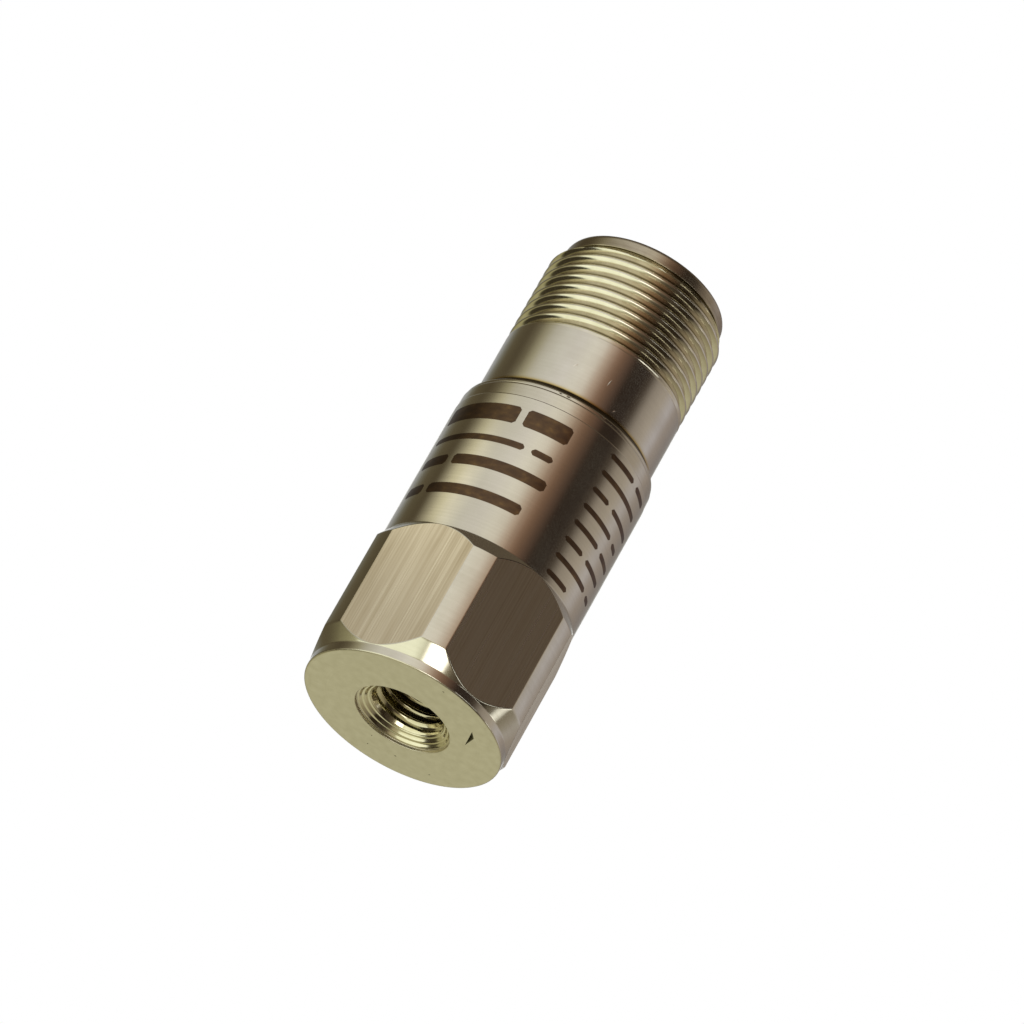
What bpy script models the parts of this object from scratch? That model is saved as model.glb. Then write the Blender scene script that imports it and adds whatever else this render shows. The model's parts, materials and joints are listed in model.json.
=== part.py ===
"""Compact industrial vibration sensor with a hexagon base, a tapped stud hole and a threaded connector.

The frame's origin is the centre of the base face. +Z runs up the sensor's axis to the connector, and two
corners of the hexagon lie on the Y axis.
"""
import math

import bmesh
import bpy
from mathutils import Matrix, Vector

MM = 0.001

# Clearances between pieces
FIT_GAP = 0.30 * MM             # between a piece and what it sits on or in
STACK_GAP = 0.25 * MM           # between the layers of the clamped sensing stack

# Sensing element, from the post outwards
POST_THICKNESS = 2.00 * MM
PIEZO_SIDE = 5.00 * MM
PIEZO_THICKNESS = 0.80 * MM
POST_MARGIN = 0.30 * MM         # of the post past the piezo plate on each side
ELECTRODE_THICKNESS = 0.20 * MM
ELECTRODE_TAB_WIDTH = 1.00 * MM
ELECTRODE_TAB_INSET = 0.30 * MM
MASS_THICKNESS = 1.45 * MM
MASS_WIDTH = 7.00 * MM
MASS_END_CLEARANCE = 0.70 * MM
MASS_BEVEL = 0.25 * MM
WASHER_THICKNESS = 0.30 * MM
WASHER_DIAMETER = 3.80 * MM
BOLT_DIAMETER = 1.60 * MM
BOLT_HEAD_DIAMETER = 3.00 * MM
CLAMP_HEIGHT = 0.70 * MM        # of the bolt's head and of its nut
BOLT_END = 0.10 * MM
NUT_ACROSS_FLATS = 3.20 * MM
SLOT_WIDTH = 0.40 * MM
SLOT_DEPTH = 0.30 * MM
BASE_PLATE_THICKNESS = 1.50 * MM
POST_HEIGHT = 8.10 * MM         # above the base plate

# Inner insulation and screen
CLAMP_CLEARANCE = 0.50 * MM     # from the bolt's head to the screen
CAN_WALL = 0.30 * MM
CAN_ROOF = 0.40 * MM
SLEEVE_WALL = 0.30 * MM
ISOLATION_DISC_THICKNESS = 0.80 * MM
LEAD_HOLE_CLEARANCE = 0.75 * MM

# Circuit board
BOARD_HEADROOM = 2.50 * MM      # from the board's top up to the screen's roof
BOARD_THICKNESS = 0.80 * MM
BOARD_EDGE_CLEARANCE = 0.50 * MM
BOARD_UNDERSIDE_CLEARANCE = 0.70 * MM
STANDOFF_DIAMETER = 1.80 * MM
STANDOFF_CLEARANCE = 0.50 * MM  # from the post
STANDOFF_STUD_DIAMETER = 1.00 * MM
STANDOFF_FLOOR = 0.30 * MM      # base plate left under the standoff's hole
BOARD_SCREW_DIAMETER = 0.90 * MM
BOARD_SCREW_HEAD_DIAMETER = 2.00 * MM
BOARD_SCREW_HEAD_HEIGHT = 0.70 * MM
BOARD_SCREW_LENGTH = 2.60 * MM
CHIP_BEVEL = 0.10 * MM
COMPONENT_GAP = 0.40 * MM       # between a component and a screw head

# Components on the board: length, width and height, and places beside the middle
AMPLIFIER_SIZE = (2.80 * MM, 2.40 * MM, 0.90 * MM)
AMPLIFIER_PLACE = (-3.00 * MM, -1.90 * MM)
INPUT_CAPACITOR_SIZE = (2.00 * MM, 1.25 * MM, 1.20 * MM)
INPUT_CAPACITOR_PLACE = (3.00 * MM, -1.90 * MM)
OUTPUT_CAPACITOR_SIZE = (1.60 * MM, 0.90 * MM, 0.90 * MM)
RESISTOR_SIZE = (1.60 * MM, 0.80 * MM, 0.50 * MM)
RESISTOR_PLACE = (3.80 * MM, 0.30 * MM)
DIODE_SIZE = (1.60 * MM, 1.00 * MM, 0.80 * MM)

# Wires
OUTPUT_LEAD_DIAMETER = 0.70 * MM
OUTPUT_LEAD_SPACING = 2.40 * MM
OUTPUT_LEAD_BOW = 0.45 * MM
OUTPUT_LEAD_IN_CUP = 1.00 * MM
ELEMENT_LEAD_DIAMETER = 0.50 * MM
ELEMENT_LEAD_ABOVE_BOARD = 0.60 * MM

# Stud hole, tapped 1/4-28
STUD_MAJOR_DIAMETER = 6.35 * MM
STUD_THREAD_HEIGHT = 0.445 * MM
STUD_THREAD_DEPTH = 6.60 * MM
STUD_DRILL_POINT = 1.64 * MM
STUD_RECESS_DEPTH = 0.55 * MM
STUD_RECESS_LEDGE = 0.95 * MM   # width of the sloping ledge inside the recess
STUD_SHOULDER_DROP = 0.30 * MM
STUD_LEAD_IN = 0.15 * MM
STUD_LEAD_IN_WIDTH = 0.075 * MM
CAVITY_FLOOR_WALL = 1.36 * MM
CAVITY_CORNER = 0.30 * MM

# Dent in the base face, seen as a long triangle
DENT_DEPTH = 0.22 * MM
DENT_CENTRE = (5.70 * MM, -2.45 * MM)
DENT_LENGTH = 2.70 * MM
DENT_WIDTH = 0.60 * MM
DENT_TURN = math.radians(4)

# Connector shell, thread 5/8-24
SEAT_WIDTH = 0.5375 * MM        # ledge that the connector shell stands on
SPIGOT_DEPTH = 3.95 * MM        # how far the connector shell goes into the housing
SPIGOT_CHAMFER = 0.30 * MM
NECK_EXPOSED = 5.95 * MM
THREAD_LENGTH = 9.05 * MM
THREAD_PITCH = 25.4 / 24 * MM
THREAD_DEPTH = 0.65 * MM
THREAD_CREST = 0.16 * MM
THREAD_ROOT = 0.24 * MM
THREAD_RUN_OUT = 0.90 * MM
THREAD_LEAD_IN = 0.65 * MM
LIP_STEP = 0.0375 * MM          # of the lip below the thread's root
LIP_HEIGHT = 1.45 * MM
LIP_ROUND = 0.45 * MM
SOCKET_WALL = 1.0875 * MM       # under the thread's root
SOCKET_CHAMFER = 0.20 * MM
SOCKET_DEPTH = 9.80 * MM        # from the rim down to the face of the glass
KEYWAY_WIDTH = 2.40 * MM
KEYWAY_DEPTH = 0.50 * MM
GLASS_LEDGE_WIDTH = 1.00 * MM

# Glass and contacts
GLASS_THICKNESS = 2.50 * MM
CONTACT_DIAMETER = 1.60 * MM
CONTACT_SPACING = 4.80 * MM
CONTACT_RECESS = 1.50 * MM      # contact tips below the rim
CONTACT_TIP_ROUND = 0.50 * MM
CONTACT_TAIL = 0.60 * MM        # plain stretch between the glass and the solder cup
SOLDER_CUP_WALL = 0.35 * MM
SOLDER_CUP_BORE_DEPTH = 1.60 * MM
SOLDER_CUP_BASE = 1.00 * MM     # solid stretch above the bore

# Round body and hexagon
RIM_WALL = 0.4725 * MM          # housing wall round the connector shell
BAND_HEIGHT = 1.75 * MM         # polished band under the body's top edge
BAND_TAPER = 0.09 * MM
BODY_EDGE_BREAK = 0.15 * MM
FLAT_STANDS_PROUD = 0.02 * MM   # of the body and the collar
CORNER_RISE = 0.795 * MM        # from the flats' distance to the bar that the corners lie on
COLLAR_HEIGHT = 0.80 * MM
HEXAGON_TOP = 13.20 * MM
LOWER_CONE_ANGLE = math.radians(27)
UPPER_CONE_ANGLE = math.radians(30)
FACE_EDGE_BREAK = 0.15 * MM

# Facets around a turn
FINE_TURN = 60
THREAD_TURN = 48
SMALL_TURN = 24
TINY_TURN = 16

# Places across the sensing stack, outwards from the axis
PIEZO_INNER = POST_THICKNESS / 2 + STACK_GAP
ELECTRODE_INNER = PIEZO_INNER + PIEZO_THICKNESS + STACK_GAP
MASS_INNER = ELECTRODE_INNER + ELECTRODE_THICKNESS + STACK_GAP
WASHER_INNER = MASS_INNER + MASS_THICKNESS + STACK_GAP
CLAMP_INNER = WASHER_INNER + WASHER_THICKNESS + STACK_GAP
CLAMP_OUTER = CLAMP_INNER + CLAMP_HEIGHT
BOLT_HOLE_RADIUS = BOLT_DIAMETER / 2 + FIT_GAP
POST_WIDTH = PIEZO_SIDE + 2 * POST_MARGIN
STANDOFF_OFFSET = POST_WIDTH / 2 + STANDOFF_CLEARANCE + STANDOFF_DIAMETER / 2
ELECTRODE_TAB_OFFSET = PIEZO_SIDE / 2 - ELECTRODE_TAB_INSET - ELECTRODE_TAB_WIDTH / 2

# Radii from the screen outwards. The neck comes out at five eighths of an inch across
INNER_RADIUS = CLAMP_OUTER + CLAMP_CLEARANCE
CAN_RADIUS = INNER_RADIUS + CAN_WALL
SLEEVE_RADIUS = CAN_RADIUS + FIT_GAP + SLEEVE_WALL
CAVITY_RADIUS = SLEEVE_RADIUS + FIT_GAP
NECK_RADIUS = CAVITY_RADIUS + SEAT_WIDTH
LIP_RADIUS = NECK_RADIUS - THREAD_DEPTH - LIP_STEP
SOCKET_RADIUS = NECK_RADIUS - THREAD_DEPTH - SOCKET_WALL
SHELL_BORE_RADIUS = SOCKET_RADIUS - GLASS_LEDGE_WIDTH
SPIGOT_BORE_RADIUS = NECK_RADIUS + FIT_GAP
TURNED_RADIUS = SPIGOT_BORE_RADIUS + RIM_WALL
FLAT_RADIUS = TURNED_RADIUS + FLAT_STANDS_PROUD
BAR_RADIUS = FLAT_RADIUS + CORNER_RISE
BOARD_RADIUS = INNER_RADIUS - BOARD_EDGE_CLEARANCE

# Levels from the base face up to the connector's rim
CAVITY_FLOOR = STUD_THREAD_DEPTH + STUD_DRILL_POINT + CAVITY_FLOOR_WALL
DISC_BOTTOM = CAVITY_FLOOR + FIT_GAP
DISC_TOP = DISC_BOTTOM + ISOLATION_DISC_THICKNESS
INNER_FLOOR = DISC_TOP + FIT_GAP
PLATE_TOP = INNER_FLOOR + BASE_PLATE_THICKNESS
POST_TOP = PLATE_TOP + POST_HEIGHT
STACK_CENTRE = (PLATE_TOP + POST_TOP) / 2
BOARD_BOTTOM = POST_TOP + BOARD_UNDERSIDE_CLEARANCE
ELECTRODE_TAB_TOP = (POST_TOP + BOARD_BOTTOM) / 2 - FIT_GAP
BOARD_TOP = BOARD_BOTTOM + BOARD_THICKNESS
CAN_ROOF_UNDERSIDE = BOARD_TOP + BOARD_HEADROOM
CAN_TOP = CAN_ROOF_UNDERSIDE + CAN_ROOF
SHELL_SEAT = CAN_TOP
SHELL_BOTTOM = SHELL_SEAT + FIT_GAP
BODY_TOP = SHELL_SEAT + SPIGOT_DEPTH
THREAD_BOTTOM = BODY_TOP + NECK_EXPOSED
THREAD_TOP = THREAD_BOTTOM + THREAD_LENGTH
RIM = THREAD_TOP + LIP_HEIGHT
GLASS_TOP = RIM - SOCKET_DEPTH
GLASS_BOTTOM = GLASS_TOP - GLASS_THICKNESS
GLASS_LEDGE = GLASS_BOTTOM - FIT_GAP
CUP_TOP = GLASS_BOTTOM - CONTACT_TAIL
CUP_BORE_TOP = CUP_TOP - SOLDER_CUP_BASE
CUP_BOTTOM = CUP_BORE_TOP - SOLDER_CUP_BORE_DEPTH


def clear_scene():
    """Remove every object that the scene starts with."""
    for thing in list(bpy.data.objects):
        bpy.data.objects.remove(thing, do_unlink=True)


def linear(channel):
    """Turn one sRGB channel into the linear value that a shader takes."""
    if channel <= 0.04045:
        return channel / 12.92
    return ((channel + 0.055) / 1.055) ** 2.4


def make_material(name, hex_colour, metallic, roughness):
    """Make a material from an sRGB hex colour."""
    material = bpy.data.materials.new(name)
    material.use_nodes = True
    shader = material.node_tree.nodes["Principled BSDF"]
    channels = [int(hex_colour[i:i + 2], 16) / 255 for i in (0, 2, 4)]
    shader.inputs["Base Color"].default_value = [linear(c) for c in channels] + [1.0]
    shader.inputs["Metallic"].default_value = metallic
    shader.inputs["Roughness"].default_value = roughness
    return material


def add_object(name, mesh_source, material, sharp_angle=math.radians(30)):
    """Turn a bmesh into a named object with one material and smooth round sides."""
    bmesh.ops.recalc_face_normals(mesh_source, faces=mesh_source.faces)
    mesh = bpy.data.meshes.new(name)
    mesh_source.to_mesh(mesh)
    mesh_source.free()
    mesh.shade_smooth()
    mesh.set_sharp_from_angle(angle=sharp_angle)
    if material:
        mesh.materials.append(material)
    thing = bpy.data.objects.new(name, mesh)
    bpy.context.scene.collection.objects.link(thing)
    return thing


def arc(centre_r, centre_z, radius, start_degrees, end_degrees, steps=4):
    """Points of an arc in the outline plane, as (r, z) pairs."""
    points = []
    for i in range(steps + 1):
        angle = math.radians(start_degrees + (end_degrees - start_degrees) * i / steps)
        points.append((centre_r + radius * math.cos(angle), centre_z + radius * math.sin(angle)))
    return points


def turn_outline(outline, facets):
    """Spin a closed outline of (r, z) points around Z into a bmesh. Ends may lie on the axis."""
    shape = bmesh.new()
    ring = [shape.verts.new((r, 0.0, z)) for r, z in outline]
    edges = [shape.edges.new((a, b)) for a, b in zip(ring, ring[1:])]
    if outline[0][0] > 0 or outline[-1][0] > 0:
        edges.append(shape.edges.new((ring[-1], ring[0])))
    bmesh.ops.spin(shape, geom=ring + edges, cent=(0, 0, 0), axis=(0, 0, 1), angle=math.tau, steps=facets)
    bmesh.ops.remove_doubles(shape, verts=shape.verts, dist=1e-7)
    return shape


def turned(name, outline, facets, material):
    """A turned piece on the Z axis."""
    return add_object(name, turn_outline(outline, facets), material)


def block(name, size, centre, material, bevel=0.0):
    """A rectangular piece, with its edges broken if a bevel is given."""
    shape = bmesh.new()
    bmesh.ops.create_cube(shape, size=1.0)
    bmesh.ops.scale(shape, vec=size, verts=shape.verts)
    bmesh.ops.translate(shape, vec=centre, verts=shape.verts)
    if bevel:
        bmesh.ops.bevel(shape, geom=shape.edges, offset=bevel, segments=1, affect="EDGES")
    return add_object(name, shape, material)


def rod(name, radius, start, end, facets, material=None):
    """A plain cylinder between two points."""
    start, end = Vector(start), Vector(end)
    shape = bmesh.new()
    bmesh.ops.create_cone(shape, cap_ends=True, segments=facets, radius1=radius, radius2=radius,
                          depth=(end - start).length)
    turn = (end - start).to_track_quat("Z", "Y").to_matrix().to_4x4()
    bmesh.ops.transform(shape, matrix=Matrix.Translation((start + end) / 2) @ turn, verts=shape.verts)
    return add_object(name, shape, material)


def apply_boolean(target, other, operation):
    """Add a Boolean between two objects. The other object becomes a hidden cutter."""
    step = target.modifiers.new(other.name, "BOOLEAN")
    step.operation = operation
    step.solver = "EXACT"
    step.object = other
    other.hide_render = True
    other.display_type = "WIRE"


def cut(target, cutter):
    """Take the cutter's shape out of the target."""
    apply_boolean(target, cutter, "DIFFERENCE")


def cross_hole(target, radius, reach):
    """Drill a hole along X through the middle of the sensing stack."""
    start = (-reach, 0.0, STACK_CENTRE)
    end = (reach, 0.0, STACK_CENTRE)
    cut(target, rod(target.name + "_bolt_hole", radius, start, end, SMALL_TURN))


def hexagon_prism(across_flats, bottom, top):
    """A hexagonal bar along Z with two corners on the Y axis."""
    shape = bmesh.new()
    corner = across_flats / math.sqrt(3)
    bmesh.ops.create_cone(shape, cap_ends=True, segments=6, radius1=corner, radius2=corner, depth=top - bottom)
    bmesh.ops.translate(shape, vec=(0, 0, (top + bottom) / 2), verts=shape.verts)
    return shape


def stud_hole_outline():
    """Outline of the stud hole from the drill's point on the axis out to the base face."""
    major_radius = STUD_MAJOR_DIAMETER / 2
    drill_radius = major_radius - STUD_THREAD_HEIGHT
    shoulder_radius = major_radius + STUD_LEAD_IN_WIDTH
    recess_radius = shoulder_radius + STUD_RECESS_LEDGE
    shoulder = STUD_RECESS_DEPTH + STUD_SHOULDER_DROP
    return [
        (0.0, STUD_THREAD_DEPTH + STUD_DRILL_POINT),
        (drill_radius, STUD_THREAD_DEPTH),
        (major_radius, STUD_THREAD_DEPTH),
        (major_radius, shoulder + STUD_LEAD_IN),
        (shoulder_radius, shoulder),
        (recess_radius, STUD_RECESS_DEPTH),
        (recess_radius, 0.0),
    ]


def housing_outline():
    """Outline of the housing before the hexagon is milled on it."""
    bar = BAR_RADIUS
    body = TURNED_RADIUS
    lower_cone = (bar - body) / math.tan(LOWER_CONE_ANGLE)
    upper_cone = (bar - body) / math.tan(UPPER_CONE_ANGLE)
    outline = stud_hole_outline()
    outline += [
        (body - FACE_EDGE_BREAK, 0.0),
        (body, FACE_EDGE_BREAK),
        (body, COLLAR_HEIGHT),
        (bar, COLLAR_HEIGHT + lower_cone),
        (bar, HEXAGON_TOP - upper_cone),
        (body, HEXAGON_TOP),
        (body, BODY_TOP - BAND_HEIGHT),
        (body - BAND_TAPER, BODY_TOP - BODY_EDGE_BREAK),
        (body - BAND_TAPER - BODY_EDGE_BREAK, BODY_TOP),
        (SPIGOT_BORE_RADIUS, BODY_TOP),
        (SPIGOT_BORE_RADIUS, SHELL_SEAT),
        (CAVITY_RADIUS, SHELL_SEAT),
        (CAVITY_RADIUS, CAVITY_FLOOR + CAVITY_CORNER),
        (CAVITY_RADIUS - CAVITY_CORNER, CAVITY_FLOOR),
        (0.0, CAVITY_FLOOR),
    ]
    return outline


def make_hexagon_cutter():
    """A ring with a hexagonal hole. It mills the flats and stops where the body is turned round."""
    shape = hexagon_prism(2 * FLAT_RADIUS, -COLLAR_HEIGHT, HEXAGON_TOP + COLLAR_HEIGHT)
    inner = add_object("hexagon_hole", shape, None)
    outer = rod("hexagon_cutter", 2 * BAR_RADIUS, (0, 0, -COLLAR_HEIGHT / 2),
                (0, 0, HEXAGON_TOP + COLLAR_HEIGHT / 2), THREAD_TURN)
    cut(outer, inner)
    return outer


def make_dent_cutter():
    """A low three-sided point that leaves a long triangular dent in the base face."""
    shape = bmesh.new()
    half = DENT_LENGTH / 2
    corners = [(-DENT_WIDTH / 3, half), (DENT_WIDTH * 2 / 3, -half / 5), (-DENT_WIDTH / 6, -half)]
    base = [shape.verts.new((x, y, 0.0)) for x, y in corners]
    skirt = [shape.verts.new((x, y, -DENT_DEPTH)) for x, y in corners]
    tip = shape.verts.new((0.0, 0.0, DENT_DEPTH))
    shape.faces.new(skirt)
    for i in range(3):
        j = (i + 1) % 3
        shape.faces.new((skirt[i], skirt[j], base[j], base[i]))
        shape.faces.new((base[i], base[j], tip))
    bmesh.ops.rotate(shape, cent=(0, 0, 0), matrix=Matrix.Rotation(DENT_TURN, 3, "Z"), verts=shape.verts)
    bmesh.ops.translate(shape, vec=(*DENT_CENTRE, 0.0), verts=shape.verts)
    return add_object("dent_cutter", shape, None)


def make_housing(steel):
    """Hexagon base and round body, one turned and milled piece."""
    housing = turned("housing", housing_outline(), FINE_TURN, steel)
    cut(housing, make_hexagon_cutter())
    cut(housing, make_dent_cutter())


def thread_radius(z, distance):
    """Radius of the outer thread at height z, at a distance along the pitch from a crest's middle."""
    flank = (THREAD_PITCH - THREAD_CREST - THREAD_ROOT) / 2
    sunk = min(max((abs(distance) - THREAD_CREST / 2) / flank, 0.0), 1.0)
    run_out = min((z - THREAD_BOTTOM) / THREAD_RUN_OUT, 1.0)
    lead_in = LIP_RADIUS + (THREAD_TOP - z) * (NECK_RADIUS - LIP_RADIUS) / THREAD_LEAD_IN
    return min(NECK_RADIUS - THREAD_DEPTH * sunk * run_out, lead_in)


def thread_column(phase):
    """Outer thread points of one column, bottom to top, for a phase of 0 to 1 turn.

    Points past either end of the thread are held at that end, so every column has as many points.
    """
    step = THREAD_PITCH / THREAD_TURN
    half_crest = THREAD_CREST / 2
    half_root = THREAD_ROOT / 2
    offsets = [-THREAD_PITCH / 2 + half_root, -half_crest, half_crest, THREAD_PITCH / 2 - half_root]
    points = []
    for turn in range(-1, math.ceil(THREAD_LENGTH / THREAD_PITCH) + 1):
        for offset in offsets:
            z = THREAD_BOTTOM + (turn + phase) * THREAD_PITCH + THREAD_PITCH / 2 + offset
            if z < THREAD_BOTTOM + step / 2:
                points.append((NECK_RADIUS, THREAD_BOTTOM))
            elif z > THREAD_TOP - step / 2:
                points.append((LIP_RADIUS, THREAD_TOP))
            else:
                points.append((thread_radius(z, offset), z))
    return points


def shell_outline_above_thread():
    """Outline from the thread's top over the rim, down the socket and round the shell's lower end."""
    outline = [(LIP_RADIUS, THREAD_TOP)]
    outline += arc(LIP_RADIUS - LIP_ROUND, RIM - LIP_ROUND, LIP_ROUND, 0, 90)
    outline += [
        (SOCKET_RADIUS + SOCKET_CHAMFER, RIM),
        (SOCKET_RADIUS, RIM - SOCKET_CHAMFER),
        (SOCKET_RADIUS, GLASS_LEDGE),
        (SHELL_BORE_RADIUS, GLASS_LEDGE),
        (SHELL_BORE_RADIUS, SHELL_BOTTOM),
        (NECK_RADIUS - SPIGOT_CHAMFER, SHELL_BOTTOM),
        (NECK_RADIUS, SHELL_BOTTOM + SPIGOT_CHAMFER),
        (NECK_RADIUS, THREAD_BOTTOM),
    ]
    return outline


def join_columns(shape, left, right, corner):
    """Add the faces between two columns of points, leaving out corners that coincide."""
    count = len(left)
    for i in range(count):
        j = (i + 1) % count
        quad = []
        for point in (left[i], right[i], right[j], left[j]):
            vertex = corner(point)
            if vertex not in quad:
                quad.append(vertex)
        if len(quad) > 2:
            shape.faces.new(quad)


def make_connector_shell(steel):
    """Neck, right-hand thread and lip, with the socket above and a plain bore below."""
    shape = bmesh.new()
    found = {}

    def corner(point):
        key = tuple(round(value, 9) for value in point)
        if key not in found:
            found[key] = shape.verts.new(point)
        return found[key]

    def place(points, index):
        angle = math.tau * index / THREAD_TURN
        return [(r * math.cos(angle), r * math.sin(angle), z) for r, z in points]

    fixed = shell_outline_above_thread()
    for index in range(THREAD_TURN):
        left = thread_column(index / THREAD_TURN)
        right = thread_column((index + 1) / THREAD_TURN)
        join_columns(shape, place(left + fixed, index), place(right + fixed, index + 1), corner)
    shell = add_object("connector_shell", shape, steel)

    keyway_height = RIM - GLASS_TOP
    keyway_reach = SOCKET_RADIUS + KEYWAY_DEPTH
    size = (KEYWAY_WIDTH, keyway_reach, 2 * keyway_height)
    cut(shell, block("keyway_cutter", size, (0, keyway_reach / 2, RIM), None))


def make_glass_insert(glass):
    """Glass disc with a hole for each contact."""
    radius = SOCKET_RADIUS - FIT_GAP
    insert = rod("glass_insert", radius, (0, 0, GLASS_BOTTOM), (0, 0, GLASS_TOP), THREAD_TURN, glass)
    for side in (-1, 1):
        x = side * CONTACT_SPACING / 2
        start = (x, 0, GLASS_BOTTOM - FIT_GAP)
        end = (x, 0, GLASS_TOP + FIT_GAP)
        cut(insert, rod("contact_hole", CONTACT_DIAMETER / 2 + FIT_GAP, start, end, SMALL_TURN))


def make_contacts(plated):
    """Two round contacts with a rounded tip above the glass and a solder cup below it."""
    radius = CONTACT_DIAMETER / 2
    cup_bore = OUTPUT_LEAD_DIAMETER / 2 + FIT_GAP
    cup = cup_bore + SOLDER_CUP_WALL
    tip = RIM - CONTACT_RECESS
    outline = [
        (0.0, CUP_BORE_TOP),
        (cup_bore, CUP_BORE_TOP),
        (cup_bore, CUP_BOTTOM),
        (cup, CUP_BOTTOM),
        (cup, CUP_TOP),
        (radius, CUP_TOP),
    ]
    outline += arc(radius - CONTACT_TIP_ROUND, tip - CONTACT_TIP_ROUND, CONTACT_TIP_ROUND, 0, 90, 3)
    outline.append((0.0, tip))
    for name, side in (("contact_pin_a", -1), ("contact_pin_b", 1)):
        contact = turned(name, outline, SMALL_TURN, plated)
        contact.location.x = side * CONTACT_SPACING / 2


def make_insulation(ceramic, film):
    """Disc under the inner assembly and sleeve around its screen."""
    rod("isolation_disc", SLEEVE_RADIUS, (0, 0, DISC_BOTTOM), (0, 0, DISC_TOP), THREAD_TURN, ceramic)
    inner = SLEEVE_RADIUS - SLEEVE_WALL
    outline = [(SLEEVE_RADIUS, CAN_TOP), (inner, CAN_TOP), (inner, INNER_FLOOR), (SLEEVE_RADIUS, INNER_FLOOR)]
    turned("isolation_sleeve", outline, THREAD_TURN, film)


def make_shield_can(tin_plate):
    """Drawn can over the sensing element, open below, with a hole for the leads in its roof."""
    hole = (OUTPUT_LEAD_SPACING + OUTPUT_LEAD_DIAMETER) / 2 + LEAD_HOLE_CLEARANCE
    outline = [
        (hole, CAN_TOP),
        (CAN_RADIUS - CAN_WALL, CAN_TOP),
        (CAN_RADIUS, CAN_TOP - CAN_WALL),
        (CAN_RADIUS, INNER_FLOOR),
        (INNER_RADIUS, INNER_FLOOR),
        (INNER_RADIUS, CAN_ROOF_UNDERSIDE),
        (hole, CAN_ROOF_UNDERSIDE),
    ]
    turned("shield_can", outline, THREAD_TURN, tin_plate)


def make_element_base(steel):
    """Base plate with the flat post that the stack is clamped to, one piece."""
    radius = INNER_RADIUS - FIT_GAP
    base = rod("element_base", radius, (0, 0, INNER_FLOOR), (0, 0, PLATE_TOP), THREAD_TURN, steel)
    size = (POST_THICKNESS, POST_WIDTH, POST_TOP - INNER_FLOOR - FIT_GAP)
    centre = (0, 0, POST_TOP - size[2] / 2)
    apply_boolean(base, block("post_blank", size, centre, None), "UNION")
    cross_hole(base, BOLT_HOLE_RADIUS, POST_THICKNESS)
    for side in (-1, 1):
        y = side * STANDOFF_OFFSET
        start = (0, y, INNER_FLOOR + STANDOFF_FLOOR)
        end = (0, y, PLATE_TOP + FIT_GAP)
        cut(base, rod("standoff_hole", STANDOFF_STUD_DIAMETER / 2 + FIT_GAP, start, end, TINY_TURN))


def make_electrode(name, side, brass):
    """Contact foil as large as the piezo plate, with a tab that stands up beside the middle."""
    x = side * (ELECTRODE_INNER + ELECTRODE_THICKNESS / 2)
    size = (ELECTRODE_THICKNESS, PIEZO_SIDE, PIEZO_SIDE)
    foil = block(name, size, (x, 0, STACK_CENTRE), brass)
    tab_size = (ELECTRODE_THICKNESS, ELECTRODE_TAB_WIDTH, ELECTRODE_TAB_TOP - STACK_CENTRE)
    tab_centre = (x, ELECTRODE_TAB_OFFSET, (ELECTRODE_TAB_TOP + STACK_CENTRE) / 2)
    apply_boolean(foil, block(name + "_tab", tab_size, tab_centre, None), "UNION")
    cross_hole(foil, BOLT_HOLE_RADIUS, INNER_RADIUS)


def make_stack(piezo, brass, tungsten, film):
    """Piezo plates, electrodes, masses and washers on both sides of the post."""
    mass_height = POST_TOP - PLATE_TOP - 2 * MASS_END_CLEARANCE
    for name, side in (("left", -1), ("right", 1)):
        size = (PIEZO_THICKNESS, PIEZO_SIDE, PIEZO_SIDE)
        x = side * (PIEZO_INNER + PIEZO_THICKNESS / 2)
        plate = block("piezo_plate_" + name, size, (x, 0, STACK_CENTRE), piezo)
        cross_hole(plate, BOLT_HOLE_RADIUS, INNER_RADIUS)

        make_electrode("electrode_" + name, side, brass)

        size = (MASS_THICKNESS, MASS_WIDTH, mass_height)
        x = side * (MASS_INNER + MASS_THICKNESS / 2)
        mass = block("seismic_mass_" + name, size, (x, 0, STACK_CENTRE), tungsten, MASS_BEVEL)
        cross_hole(mass, BOLT_HOLE_RADIUS, INNER_RADIUS)

        outline = [
            (WASHER_DIAMETER / 2, WASHER_THICKNESS),
            (BOLT_HOLE_RADIUS, WASHER_THICKNESS),
            (BOLT_HOLE_RADIUS, 0.0),
            (WASHER_DIAMETER / 2, 0.0),
        ]
        washer = turned("insulating_washer_" + name, outline, SMALL_TURN, film)
        washer.rotation_euler.y = side * math.pi / 2
        washer.location = (side * WASHER_INNER, 0, STACK_CENTRE)


def make_preload_bolt(steel):
    """Slotted bolt across the stack, with its head on the right."""
    head = BOLT_HEAD_DIAMETER / 2
    shank = BOLT_DIAMETER / 2
    tip = -CLAMP_OUTER - BOLT_END
    outline = [
        (0.0, CLAMP_OUTER),
        (head, CLAMP_OUTER),
        (head, CLAMP_INNER),
        (shank, CLAMP_INNER),
        (shank, tip),
        (0.0, tip),
    ]
    bolt = turned("preload_bolt", outline, SMALL_TURN, steel)
    bolt.rotation_euler.y = math.pi / 2
    bolt.location.z = STACK_CENTRE
    size = (2 * SLOT_DEPTH, 2 * head + FIT_GAP, SLOT_WIDTH)
    centre = (CLAMP_OUTER, 0, STACK_CENTRE)
    cut(bolt, block("bolt_slot", size, centre, None))


def make_preload_nut(steel):
    """Hexagon nut on the bolt's left end."""
    shape = hexagon_prism(NUT_ACROSS_FLATS, CLAMP_INNER, CLAMP_OUTER)
    nut = add_object("preload_nut", shape, steel)
    nut.rotation_euler.y = -math.pi / 2
    nut.location.z = STACK_CENTRE
    cross_hole(nut, BOLT_HOLE_RADIUS, CLAMP_OUTER + BOLT_DIAMETER)


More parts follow.
